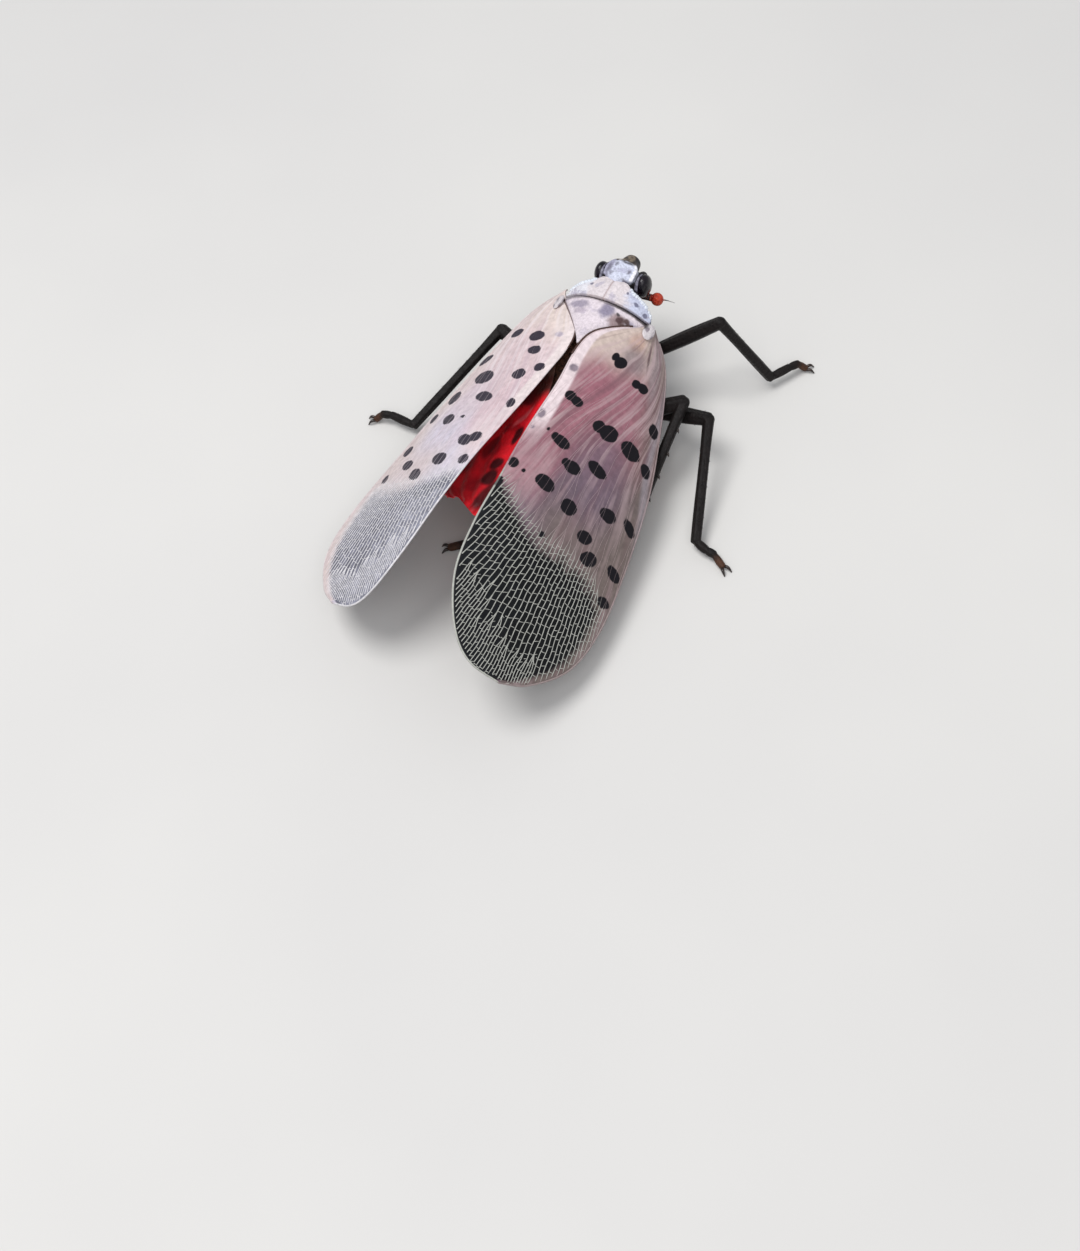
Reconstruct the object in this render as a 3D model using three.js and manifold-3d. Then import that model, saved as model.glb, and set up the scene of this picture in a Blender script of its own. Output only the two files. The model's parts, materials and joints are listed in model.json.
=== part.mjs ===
// Spotted lanternfly, adult, standing with its wings held half open like a roof. Millimetres, +Z up.
// The insect faces +Y, its right side is +X, and the six feet stand on the plane z = 0.

import * as THREE from "three";
import { mergeVertices } from "three/addons/utils/BufferGeometryUtils.js";
import Module from "manifold-3d";

const wasm = await Module();
wasm.setup();

// Stance: height of the tip of the mesonotum above the ground, and how far the body is raised at the head.
const BACK_HEIGHT = 6.46;
const BODY_PITCH = THREE.MathUtils.degToRad(4.7);
const JOINT_GAP = 0.3;

// Body half widths and depths, in the body's own frame: its origin is the tip of the mesonotum, on the back.
const THORAX_HALF_WIDTH = 2.35;
const THORAX_FRONT = 4.2;
const THORAX_REAR = -1.5;
const BELLY_DEPTH = 4.3;
const PRONOTUM_HALF_WIDTH = 2.5;
const PRONOTUM_REAR = 3.03;
const PRONOTUM_FRONT = 4.3;
const MESONOTUM_HALF_WIDTH = 2.1;
const MESONOTUM_FRONT = 2.7;
const ABDOMEN_HALF_WIDTH = 2.6;
const ABDOMEN_REAR = -9.6;
const ABDOMEN_RINGS = 8;
const HEAD_HALF_WIDTH = 0.98;
const EYE_CENTRE = [1.25, 5.06, -0.82];
const EYE_RADII = [0.38, 0.56, 0.68];
const ANTENNA_CENTRES = { right: [1.78, 5.28, -1.97], left: [-1.72, 5.2, -2.35] };
const ANTENNA_RADIUS = 0.29;
const STALK_RADIUS = 0.26;
const BRISTLE_RADIUS = 0.14;
const ROSTRUM_RADIUS = 0.27;
const TEGULA_CENTRE = [2.68, 2.66, -1.12];
const TEGULA_RADII = [0.38, 0.5, 0.27];

// Wings: plate thickness, and how far a main vein stands out of the membrane.
const WING_THICKNESS = 0.5;
const WING_RIM = 0.55;
const VEIN_HEIGHT = 0.12;
const VEIN_HALF_SHARE = 0.022;
const ARC_MIDDLE = 3;

// Wing margins run from base to tip as [along, across]: across grows from the front edge to the inner one.
const FOREWING = {
  front: [
    [0, 0], [2, -1.0], [5.05, -1.4], [9.1, -1.53], [13.15, -1.08],
    [16.7, -0.35], [19.2, 0.9], [20.7, 2.95], [21.1, 4.5],
  ],
  inner: [
    [0.3, 0.9], [2.4, 4.0], [5.05, 4.92], [8.1, 6.0], [11.1, 6.76], [13.65, 7.41],
    [16.2, 7.85], [18.2, 7.65], [19.8, 7.05], [20.7, 6.1], [21.1, 4.5],
  ],
  span: 20,
  veins: [0.14, 0.3, 0.46, 0.64, 0.82],
  rows: 26,
};
const HINDWING = {
  front: [[0, 0], [2.5, -0.7], [6, -0.9], [8.6, -0.3], [10.6, 0.9], [11.3, 2.2]],
  inner: [[0.2, 1], [1.5, 2.5], [4, 3.6], [7.5, 4.1], [9.3, 4.0], [10.7, 3.3], [11.3, 2.2]],
  span: 12,
  veins: [0.3, 0.62],
  rows: 14,
};
// The left hindwing is spread further, over the middle of the back, and shows the lobe of its hind corner.
const HINDWING_SPREAD = {
  ...HINDWING,
  front: [[0, 0], [2.5, -0.7], [6, -0.9], [8.6, -0.3], [10.3, 0.9], [10.85, 2.3]],
  inner: [
    [0.2, 1], [1.5, 2.6], [4, 4.2], [7, 5.2], [9.6, 5.75],
    [11.2, 5.85], [11.5, 5.3], [10.65, 4.2], [10.7, 3.3], [10.85, 2.3],
  ],
};
// Degrees: yaw outwards, slope of the roof, fall towards the tip, twist over the length, twist near the tip
// and curl for each mm across. Then the sag of the tip and the arch of the membrane in mm.
const WING_POSES = {
  forewing_right: {
    wing: FOREWING, side: 1, hinge: [2.89, 3.11, 5.33], yaw: 15.6, tilt: 34.9, pitch: 10.7,
    twist: 8.6, tipTwist: 0, curl: 0.5, sag: 0.53, camber: 0.4,
  },
  forewing_left: {
    wing: FOREWING, side: -1, hinge: [-2.79, 3.9, 5.3], yaw: 16.6, tilt: 34.9, pitch: 11,
    twist: 39.8, tipTwist: -29.3, curl: 0.3, sag: 0.17, camber: 0.25,
  },
  hindwing_right: {
    wing: HINDWING, side: 1, hinge: [3.05, 1.1, 4.2], yaw: 12, tilt: 29, pitch: 4.5,
    twist: 0, tipTwist: 0, curl: 1, sag: 0.2, camber: 0.2,
  },
  hindwing_left: {
    wing: HINDWING_SPREAD, side: -1, hinge: [-2.95, 1.1, 4.42], yaw: 8, tilt: 29, pitch: 6.5,
    twist: 0, tipTwist: 0, curl: -1, sag: 0.3, camber: 0.2,
  },
};

// Legs: joints in the ground's frame, from the root on the belly to the claws, then radii along each length.
const COXA_RADII = [0.55, 0.42];
const FEMUR_RADII = {
  fore: [0.34, 0.38, 0.38, 0.3],
  mid: [0.34, 0.43, 0.44, 0.34],
  hind: [0.34, 0.42, 0.44, 0.4],
};
const TIBIA_RADII = [0.27, 0.28, 0.29, 0.28];
const TARSUS_RADII = [0.26, 0.25, 0.24, 0.21];
const CLAW_REACH = 0.42;
const CLAW_SPLAY = 0.2;
const HIND_SPINES = [0.19, 0.37, 0.54, 0.71];
const SPINE_REACH = 0.45;
const LEGS = {
  fore_right: {
    root: [1.0, 3.4, 3.0], hip: [2.0, 3.25, 2.8], knee: [5.75, 4.95, 5.3],
    ankle: [8.03, 6.05, 0.75], tarsus: [[8.64, 7.08, 0.72], [8.94, 7.6, 0.62], [9.3, 7.78, 0.12]],
  },
  mid_right: {
    root: [1.2, 1.1, 2.5], hip: [2.3, 0.6, 1.65], knee: [7.08, 0.64, 2.88],
    ankle: [9.11, -5.2, 0.65], tarsus: [[9.78, -5.4, 0.52], [10.25, -5.43, 0.45], [10.9, -5.78, 0.12]],
  },
  hind_right: {
    root: [1.0, -0.2, 2.6], hip: [1.9, -0.8, 1.9], knee: [5.7, 0.6, 3.67],
    ankle: [5.78, -6.25, 0.75], tarsus: [[5.72, -7.4, 0.4], [5.9, -8.7, 0.12]],
  },
  fore_left: {
    root: [-1.0, 3.4, 3.2], hip: [-2.15, 3.2, 3.4], knee: [-5.2, -1.15, 2.94],
    ankle: [-5.0, 3.9, 0.65], tarsus: [[-5.1, 4.8, 0.45], [-5.2, 6.1, 0.12]],
  },
  mid_left: {
    root: [-1.2, 1.1, 2.4], hip: [-2.3, 0.6, 1.48], knee: [-5.96, 1.6, 3.12],
    ankle: [-8.45, -4.58, 0.65], tarsus: [[-9.9, -4.48, 0.68], [-10.5, -4.58, 0.6], [-10.87, -4.78, 0.12]],
  },
  hind_left: {
    root: [-1.0, -0.2, 2.6], hip: [-1.9, -0.7, 2.0], knee: [-4.8, -3.6, 2.8],
    ankle: [-0.8, -9.4, 0.7], tarsus: [[-1.6, -9.9, 0.45], [-2.65, -10.55, 0.12]],
  },
};

const COLOURS = {
  head: [0x8d8a94, 0.6],
  eye: [0x241a26, 0.25],
  antenna: [0xc2492a, 0.5],
  plate: [0xcfc6cb, 0.6],
  belly: [0xc9a63c, 0.55],
  forewing: [0xc3a5ab, 0.55],
  hindwing: [0xb8202a, 0.55],
  leg: [0x231d1b, 0.4],
};

const vec = (x, y, z) => new THREE.Vector3(x, y, z);

// A closed surface through a row of rings that all have the same number of points.
function loft(rings) {
  const sides = rings[0].length;
  const points = rings.flat();
  const faces = [];
  for (let i = 0; i + 1 < rings.length; i++) {
    for (let j = 0; j < sides; j++) {
      const a = i * sides + j;
      const b = i * sides + ((j + 1) % sides);
      faces.push(a, b, a + sides, b, b + sides, a + sides);
    }
  }
  const centreOf = (ring) => ring.reduce((sum, p) => sum.add(p), vec(0, 0, 0)).divideScalar(sides);
  const last = (rings.length - 1) * sides;
  const front = points.push(centreOf(rings[0])) - 1;
  const back = points.push(centreOf(rings.at(-1))) - 1;
  for (let j = 0; j < sides; j++) {
    const k = (j + 1) % sides;
    faces.push(front, k, j, back, last + j, last + k);
  }
  return surface(points, faces);
}

// Points and faces as a geometry whose faces point outwards.
function surface(points, faces) {
  let volume = 0;
  for (let i = 0; i < faces.length; i += 3) {
    const [a, b, c] = [points[faces[i]], points[faces[i + 1]], points[faces[i + 2]]];
    volume += a.dot(b.clone().cross(c));
  }
  const outward = volume > 0 ? faces : faces.toReversed();
  const geometry = new THREE.BufferGeometry().setFromPoints(points);
  geometry.setIndex(outward);
  return geometry;
}

// A geometry as a solid for joining and cutting, and back again.
function solidOf(geometry) {
  const bare = geometry.clone();
  bare.deleteAttribute("normal");
  bare.deleteAttribute("uv");
  const merged = mergeVertices(bare, 1e-4);
  return new wasm.Manifold(
    new wasm.Mesh({
      numProp: 3,
      vertProperties: merged.attributes.position.array,
      triVerts: new Uint32Array(merged.index.array),
    }),
  );
}

function geometryOf(solid) {
  const mesh = solid.getMesh();
  const geometry = new THREE.BufferGeometry();
  geometry.setAttribute("position", new THREE.BufferAttribute(mesh.vertProperties, 3));
  geometry.setIndex(new THREE.BufferAttribute(mesh.triVerts, 1));
  return geometry;
}

function largest(solid) {
  const bodies = solid.decompose();
  return bodies.reduce((best, body) => (body.volume() > best.volume() ? body : best));
}

function join(geometries) {
  const [first, ...rest] = geometries.map(solidOf);
  return geometryOf(largest(rest.reduce((sum, piece) => sum.add(piece), first)));
}

function cut(geometry, ...cutters) {
  const left = cutters.reduce((rest, cutter) => rest.subtract(solidOf(cutter)), solidOf(geometry));
  return geometryOf(largest(left));
}

// A trunk along Y: each station is [y, centre height, half width, depth above, depth below].
function trunk(stations, sides, grow = 0) {
  const rings = stations.map(([y, z, half, above, below], i) => {
    const end = i === 0 ? 1 : i === stations.length - 1 ? -1 : 0;
    const ahead = Math.sign(stations[0][0] - stations.at(-1)[0]);
    return Array.from({ length: sides }, (_, j) => {
      const turn = (2 * Math.PI * j) / sides;
      const rise = Math.sin(turn);
      const depth = (rise > 0 ? above : below) + grow;
      return vec((half + grow) * Math.cos(turn), y + end * ahead * grow, z + depth * rise);
    });
  });
  return loft(rings);
}

// A limb along a smooth path: radii are spread evenly over its length, and both ends are rounded.
function limb(path, radii, { sides = 8, steps = 6, grow = 0 } = {}) {
  const curve = new THREE.CatmullRomCurve3(path.map((p) => vec(...p)), false, "centripetal");
  const length = curve.getLength();
  const frames = curve.computeFrenetFrames(steps, false);
  const radiusAt = (u) => {
    const place = u * (radii.length - 1);
    const i = Math.min(Math.floor(place), radii.length - 2);
    return THREE.MathUtils.lerp(radii[i], radii[i + 1], place - i) + grow;
  };
  const ringAt = (u, shrink, reach) => {
    const i = Math.round(u * steps);
    const centre = curve.getPointAt(u).addScaledVector(frames.tangents[i], reach);
    return Array.from({ length: sides }, (_, j) => {
      const turn = (2 * Math.PI * j) / sides;
      return centre
        .clone()
        .addScaledVector(frames.normals[i], radiusAt(u) * shrink * Math.cos(turn))
        .addScaledVector(frames.binormals[i], radiusAt(u) * shrink * Math.sin(turn));
    });
  };
  const rings = [ringAt(0, 0.6, -grow - Math.min(0.35 * radiusAt(0), 0.1 * length))];
  for (let i = 0; i <= steps; i++) {
    const reach = i === 0 ? -grow : i === steps ? grow : 0;
    rings.push(ringAt(i / steps, 1, reach));
  }
  rings.push(ringAt(1, 0.6, grow + Math.min(0.35 * radiusAt(1), 0.1 * length)));
  return loft(rings);
}

function ball(centre, radii, { across = 14, down = 10, grow = 0 } = {}) {
  const geometry = new THREE.SphereGeometry(1, across, down);
  geometry.scale(...radii.map((r) => r + grow));
  return geometry.translate(...centre);
}

function spine(root, tip, radius) {
  const from = vec(...root);
  const to = vec(...tip);
  const height = from.distanceTo(to);
  const geometry = new THREE.ConeGeometry(radius, height, 5);
  geometry.translate(0, height / 2, 0);
  const turn = new THREE.Quaternion().setFromUnitVectors(vec(0, 1, 0), to.sub(from).normalize());
  return geometry.applyQuaternion(turn).translate(...from.toArray());
}

// From the body's own frame to the ground's.
const STAND = new THREE.Matrix4()
  .makeTranslation(0, 0, BACK_HEIGHT)
  .multiply(new THREE.Matrix4().makeRotationX(BODY_PITCH));
const stand = (geometry) => geometry.applyMatrix4(STAND);
const mirrored = ([x, y, z], side) => [side * x, y, z];

const insect = new THREE.Group();

function addNode(name, geometry, finish) {
  const [color, roughness] = COLOURS[finish];
  const bare = geometry.clone();
  bare.computeVertexNormals();
  const mesh = new THREE.Mesh(bare, new THREE.MeshStandardMaterial({ color, roughness, metalness: 0 }));
  mesh.name = name;
  insect.add(mesh);
}

// Thorax: the plain box of muscle under the plates, from the neck to the waist.
function thoraxShape(grow = 0) {
  const w = THORAX_HALF_WIDTH;
  return stand(
    trunk(
      [
        [THORAX_FRONT, -2.0, 0.42 * w, 0.9, 1.3],
        [3.8, -2.0, 0.72 * w, 1.1, BELLY_DEPTH - 2.3],
        [3.0, -2.1, 0.92 * w, 1.2, BELLY_DEPTH - 2.2],
        [1.8, -2.2, w, 1.2, BELLY_DEPTH - 2.2],
        [0.5, -2.2, w, 1.15, BELLY_DEPTH - 2.2],
        [-0.7, -2.2, 0.96 * w, 1.05, BELLY_DEPTH - 2.3],
        [THORAX_REAR, -2.3, 0.8 * w, 0.9, BELLY_DEPTH - 2.6],
      ],
      20,
      grow,
    ),
  );
}

// Mesonotum: the shield between the wing bases, widest under the pronotum and pointed behind.
function mesonotumShape(grow = 0) {
  const stations = [1, 0.8, 0.55, 0.3, 0.1].map((share) => {
    const half = MESONOTUM_HALF_WIDTH * Math.pow(share, 0.85);
    const drop = 0.42 * half + 0.06;
    return [MESONOTUM_FRONT * (share - 0.1) / 0.9, -drop, half, drop, 0.25];
  });
  return stand(trunk(stations, 18, grow));
}

// Pronotum: the collar behind the head, arched across the back, drawn down at its two corners.
function pronotumShape(grow = 0) {
  const across = 12;
  const rings = [];
  for (let i = 0; i <= across; i++) {
    const share = -1 + (2 * i) / across;
    const out = Math.abs(share);
    const rear = PRONOTUM_REAR + 0.15 * out * out - grow;
    const front = PRONOTUM_FRONT - 0.75 * Math.pow(out, 2.2) + grow;
    const top = 0.06 - 1.15 * Math.pow(out, 2.2);
    const thick = 0.28 * (1 - 0.4 * Math.pow(out, 4)) + grow;
    const middle = (front + rear) / 2;
    const reach = (front - rear) / 2;
    const x = share * PRONOTUM_HALF_WIDTH + Math.sign(share) * (out === 1 ? grow : 0);
    rings.push(
      Array.from({ length: 12 }, (_, j) => {
        const turn = (2 * Math.PI * j) / 12;
        const [c, s] = [Math.cos(turn), Math.sin(turn)];
        const y = middle + reach * Math.sign(c) * Math.sqrt(Math.abs(c));
        return vec(x, y, top - thick + grow + thick * Math.sign(s) * Math.sqrt(Math.abs(s)));
      }),
    );
  }
  return stand(loft(rings));
}

// Abdomen: rings that step in a little at each joint, tapering to the tail.
function abdomenShape(grow = 0) {
  const stations = [];
  const front = THORAX_REAR - 0.05;
  for (let i = 0; i <= 2 * ABDOMEN_RINGS; i++) {
    const share = i / (2 * ABDOMEN_RINGS);
    const swell = Math.pow(Math.sin(Math.PI * (0.2 + 0.78 * share)), 0.6);
    const step = i % 2 ? 1 : 0.94;
    const half = ABDOMEN_HALF_WIDTH * swell * step;
    const y = THREE.MathUtils.lerp(front, ABDOMEN_REAR, share);
    stations.push([y, -2.45 - 0.55 * share, half, 0.58 * half, 0.8 * half]);
  }
  return stand(trunk(stations, 18, grow));
}

// Head: a deep capsule with a short upturned process, the long face sloping back to the beak.
function headShape(grow = 0) {
  const levels = [
    [0.1, 4.95, 0.4, 0.45],
    [-0.02, 4.98, 0.7, 0.78],
    [-0.35, 5.0, 0.86, 0.92],
    [-0.9, 5.0, 0.85, 0.98],
    [-1.6, 4.95, 0.8, 1.0],
    [-2.4, 4.85, 0.68, 0.9],
    [-3.1, 4.72, 0.5, 0.65],
    [-3.7, 4.6, 0.36, 0.42],
    [-4.05, 4.5, 0.26, 0.26],
  ];
  const sides = 18;
  const rings = levels.map(([z, y, deep, wide], i) => {
    const reach = i === 0 ? grow : i === levels.length - 1 ? -grow : 0;
    const half = HEAD_HALF_WIDTH * wide + grow;
    return Array.from({ length: sides }, (_, j) => {
      const turn = (2 * Math.PI * j) / sides;
      return vec(half * Math.cos(turn), y + (deep + grow) * Math.sin(turn), z + reach);
    });
  });
  const capsule = loft(rings);
  const middle = [[0, 5.1, -0.6], [0, 5.7, -0.66], [0, 6.17, -0.76]];
  const process = limb(middle, [0.62, 0.58, 0.5], { steps: 4, grow });
  return stand(join([capsule, process]));
}

function eyeShape(side, grow = 0) {
  return stand(ball(mirrored(EYE_CENTRE, side), EYE_RADII, { grow }));
}

// Feeler: a stalk from the face out to a round bulb, and a short bristle on it.
function antennaShape(word, side) {
  const [x, y, z] = ANTENNA_CENTRES[word];
  const at = (outward, dy, dz) => [x + side * outward, y + dy, z + dz];
  const bulb = ball(at(0, 0, 0), [ANTENNA_RADIUS, ANTENNA_RADIUS, ANTENNA_RADIUS], { across: 10, down: 8 });
  const stalk = limb([at(-0.95, -0.15, 0.02), at(0, 0, 0)], [STALK_RADIUS, STALK_RADIUS], { steps: 2 });
  const bristle = spine(at(0.1, 0, 0), at(0.85, 0.35, -0.35), BRISTLE_RADIUS);
  return stand(join([bulb, stalk, bristle]));
}

// Beak: from the foot of the face back between the hips.
function rostrumShape() {
  const path = [[0, 4.35, -4.2], [0, 3.6, -4.85], [0, 2.0, -5.0], [0, 0.2, -4.95], [0, -1.4, -4.85]];
  const [root, tip] = [1.25 * ROSTRUM_RADIUS, 0.6 * ROSTRUM_RADIUS];
  return stand(limb(path, [root, ROSTRUM_RADIUS, ROSTRUM_RADIUS, ROSTRUM_RADIUS, tip], { steps: 10 }));
}

// Tegula: the small scale over the hinge of a forewing.
function tegulaShape(side, grow = 0) {
  return stand(ball(mirrored(TEGULA_CENTRE, side), TEGULA_RADII, { grow, across: 10, down: 8 }));
}

function marginCurve(margin) {
  const points = margin.map(([along, across]) => vec(across, along, 0));
  return new THREE.CatmullRomCurve3(points, false, "catmullrom", 0.5);
}

// Shares of the chord at which the plate has a line of points: three to each vein, and one between veins.
function chordShares(veins) {
  const ridges = veins.flatMap((v) => [v - VEIN_HALF_SHARE, v, v + VEIN_HALF_SHARE]);
  const stops = [0, ...ridges, 1];
  const between = [0, ...veins, 1].slice(1).map((v, i) => (v + [0, ...veins][i]) / 2);
  return [...stops, ...between].sort((a, b) => a - b);
}

// From [across, along, lift] on the flat wing to its place on the insect; across, it is part of a circle.
function wingPlacer({ wing, side, hinge, yaw, tilt, pitch, twist, tipTwist, curl, sag }) {
  const { degToRad } = THREE.MathUtils;
  const turn = new THREE.Matrix4().makeTranslation(...hinge);
  turn.multiply(new THREE.Matrix4().makeScale(side, 1, 1));
  turn.multiply(new THREE.Matrix4().makeRotationZ(degToRad(yaw)));
  turn.multiply(new THREE.Matrix4().makeRotationX(degToRad(pitch)));
  const bend = degToRad(curl);
  return (across, along, lift) => {
    const share = along / wing.span;
    const turned = tilt + twist * (share - 0.4) + tipTwist * share ** 3;
    const slopeAt = (q) => degToRad(turned) + bend * (ARC_MIDDLE - q);
    const [start, here] = [slopeAt(0), slopeAt(across)];
    const x = (Math.sin(here) - Math.sin(start)) / bend + lift * Math.sin(here);
    const z = (Math.cos(here) - Math.cos(start)) / bend + lift * Math.cos(here) - sag * share * share;
    return vec(x, -along, z).applyMatrix4(turn);
  };
}

function wingShape(pose) {
  const { wing } = pose;
  const place = wingPlacer(pose);
  const shares = chordShares(wing.veins);
  const front = marginCurve(wing.front);
  const inner = marginCurve(wing.inner);
  const upper = [];
  const lower = [];
  for (let i = 0; i < wing.rows; i++) {
    const along = Math.sin((Math.PI / 2) * (i / wing.rows)) * 0.9 + 0.1 * (i / wing.rows);
    const [from, to] = [front.getPointAt(along), inner.getPointAt(along)];
    const width = from.distanceTo(to);
    for (const share of shares) {
      const middle = from.clone().lerp(to, share);
      const swell = Math.sin(0.9 * Math.PI * Math.min(0.15 + along, 1));
      const bulge = pose.camber * 4 * share * (1 - share) * swell;
      const rim = share === 0 || share === 1 || i === 0 ? WING_RIM : 1;
      const vein = wing.veins.includes(share) ? VEIN_HEIGHT * Math.min(1, width / 3) : 0;
      upper.push(place(middle.x, middle.y, bulge + (rim * WING_THICKNESS) / 2 + vein));
      lower.push(place(middle.x, middle.y, bulge - (rim * WING_THICKNESS) / 2));
    }
  }
  const tip = front.getPointAt(1);
  const columns = shares.length;
  const count = upper.length;
  const points = [...upper, ...lower];
  const topTip = points.push(place(tip.x, tip.y, (WING_RIM * WING_THICKNESS) / 2)) - 1;
  const underTip = points.push(place(tip.x, tip.y, (-WING_RIM * WING_THICKNESS) / 2)) - 1;
  const faces = [];
  const quad = (a, b, c, d) => faces.push(a, b, c, a, c, d);
  const both = (a, b, c) => faces.push(a, b, c, count + a, count + c, count + b);
  for (let i = 0; i + 1 < wing.rows; i++) {
    for (let j = 0; j + 1 < columns; j++) {
      const a = i * columns + j;
      both(a, a + 1, a + columns);
      both(a + 1, a + columns + 1, a + columns);
    }
    const [left, right] = [i * columns, i * columns + columns - 1];
    quad(left, left + columns, count + left + columns, count + left);
    quad(right, count + right, count + right + columns, right + columns);
  }
  const lastRow = (wing.rows - 1) * columns;
  for (let j = 0; j + 1 < columns; j++) {
    quad(j + 1, j, count + j, count + j + 1);
    faces.push(lastRow + j, lastRow + j + 1, topTip);
    faces.push(count + lastRow + j + 1, count + lastRow + j, underTip);
  }
  quad(lastRow, topTip, underTip, count + lastRow);
  quad(topTip, lastRow + columns - 1, count + lastRow + columns - 1, underTip);
  return surface(points, faces);
}

// Foot: the jointed sole, and two claws that splay from its end and reach the ground.
function footShape(ankle, tarsus) {
  const [before, end] = [ankle, ...tarsus].slice(-2).map((p) => vec(...p));
  const ahead = end.clone().sub(before).setZ(0).normalize();
  const aside = vec(-ahead.y, ahead.x, 0);
  const claws = [-1, 1].map((side) => {
    const root = end.clone().addScaledVector(aside, 0.4 * CLAW_SPLAY * side);
    const tip = end.clone().addScaledVector(ahead, CLAW_REACH).addScaledVector(aside, CLAW_SPLAY * side);
    return spine(root.toArray(), tip.setZ(0.05).toArray(), 0.1);
  });
  return join([limb([ankle, ...tarsus], TARSUS_RADII, { steps: 6 }), ...claws]);
}

// Hind shin: a row of short side spines on its outer edge.
function spinyShin(knee, ankle, shin) {
  const [from, to] = [vec(...knee), vec(...ankle)];
  const along = to.clone().sub(from).normalize();
  const out = vec(Math.sign(knee[0]), 0, 0).addScaledVector(along, -along.x * Math.sign(knee[0])).normalize();
  const spines = HIND_SPINES.map((share) => {
    const root = from.clone().lerp(to, share);
    const tip = root.clone().addScaledVector(out, SPINE_REACH).addScaledVector(along, 0.3);
    return spine(root.toArray(), tip.toArray(), 0.14);
  });
  return join([shin, ...spines]);
}

function addLeg(name, { root, hip, knee, ankle, tarsus }) {
  const [pair] = name.split("_");
  const coxa = (grow) => limb([root, hip], COXA_RADII, { steps: 3, grow });
  const femur = (grow) => limb([hip, knee], FEMUR_RADII[pair], { steps: 4, grow });
  const tibia = (grow) => limb([knee, ankle], TIBIA_RADII, { steps: 4, grow });
  const shin = name.startsWith("hind") ? spinyShin(knee, ankle, tibia(0)) : tibia(0);
  addNode("coxa_" + name, cut(coxa(0), thoraxShape(JOINT_GAP)), "leg");
  addNode("femur_" + name, cut(femur(0), coxa(JOINT_GAP)), "leg");
  addNode("tibia_" + name, cut(shin, femur(JOINT_GAP)), "leg");
  addNode("tarsus_" + name, cut(footShape(ankle, tarsus), tibia(JOINT_GAP), ground()), "leg");
}

// Everything below the ground, which trims each sole flat.
function ground() {
  return new THREE.BoxGeometry(60, 60, 4).translate(0, 0, -2);
}

addNode("thorax", cut(thoraxShape(), mesonotumShape(JOINT_GAP), pronotumShape(JOINT_GAP)), "plate");
addNode("mesonotum", cut(mesonotumShape(), pronotumShape(JOINT_GAP)), "plate");
addNode("pronotum", pronotumShape(), "plate");
addNode("abdomen", cut(abdomenShape(), thoraxShape(JOINT_GAP)), "belly");
const aroundHead = [pronotumShape, thoraxShape].map((shape) => shape(JOINT_GAP));
const sockets = [1, -1].map((side) => eyeShape(side, JOINT_GAP));
addNode("head", cut(headShape(), ...aroundHead, ...sockets), "head");
addNode("rostrum", cut(rostrumShape(), headShape(JOINT_GAP)), "leg");
for (const [word, side] of [["right", 1], ["left", -1]]) {
  addNode("eye_" + word, eyeShape(side), "eye");
  addNode("antenna_" + word, cut(antennaShape(word, side), headShape(JOINT_GAP)), "antenna");
  const shoulder = [thoraxShape(JOINT_GAP), pronotumShape(JOINT_GAP)];
  addNode("tegula_" + word, cut(tegulaShape(side), ...shoulder), "plate");
  const above = [tegulaShape(side, JOINT_GAP), mesonotumShape(JOINT_GAP), pronotumShape(JOINT_GAP)];
  addNode("forewing_" + word, cut(wingShape(WING_POSES["forewing_" + word]), ...above), "forewing");
  const hindwing = wingShape(WING_POSES["hindwing_" + word]);
  addNode("hindwing_" + word, cut(hindwing, thoraxShape(JOINT_GAP)), "hindwing");
}
for (const [name, joints] of Object.entries(LEGS)) {
  addLeg(name, joints);
}

// The origin is on the ground under the middle of the whole insect.
const box = new THREE.Box3().setFromObject(insect);
insect.position.set(-(box.min.x + box.max.x) / 2, -(box.min.y + box.max.y) / 2, 0);
const model = new THREE.Group();
model.add(insect);

export default model;
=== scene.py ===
"""A spotted lanternfly, adult and life size, standing with its wings half raised."""

import json
import math

import bmesh
import bpy
import numpy as np
from mathutils import Matrix, Vector

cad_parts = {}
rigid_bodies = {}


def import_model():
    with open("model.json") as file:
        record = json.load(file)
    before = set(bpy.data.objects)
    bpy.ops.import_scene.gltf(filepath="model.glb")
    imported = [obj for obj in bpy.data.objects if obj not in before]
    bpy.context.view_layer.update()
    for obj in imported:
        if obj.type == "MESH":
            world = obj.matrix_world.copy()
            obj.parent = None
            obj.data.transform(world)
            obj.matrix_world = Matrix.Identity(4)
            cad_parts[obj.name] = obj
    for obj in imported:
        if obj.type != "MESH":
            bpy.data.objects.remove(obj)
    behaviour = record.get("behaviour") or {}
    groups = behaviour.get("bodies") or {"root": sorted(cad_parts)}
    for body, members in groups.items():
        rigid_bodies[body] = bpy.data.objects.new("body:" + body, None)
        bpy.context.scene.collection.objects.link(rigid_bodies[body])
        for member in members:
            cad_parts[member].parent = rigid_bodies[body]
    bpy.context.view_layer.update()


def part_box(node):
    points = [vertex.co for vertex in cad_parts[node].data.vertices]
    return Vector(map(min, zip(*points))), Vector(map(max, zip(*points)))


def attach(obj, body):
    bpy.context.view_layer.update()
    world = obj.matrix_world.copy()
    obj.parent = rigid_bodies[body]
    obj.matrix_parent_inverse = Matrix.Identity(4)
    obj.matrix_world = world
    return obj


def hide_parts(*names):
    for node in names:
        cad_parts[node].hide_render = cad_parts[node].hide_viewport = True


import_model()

# The view: from above and behind on the insect's right, seen through a short telephoto lens.
# The mesonotum's hind tip is the point on the back that everything is measured from,
# in millimetres: x to the right, y to the head, z up from the floor.
shield_low, shield_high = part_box("mesonotum")
HOME = np.array([500 * (shield_low.x + shield_high.x), 1000 * shield_low.y, 0.0])
VIEW_FROM = np.array([36.04, -50.93, 76.83])
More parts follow.
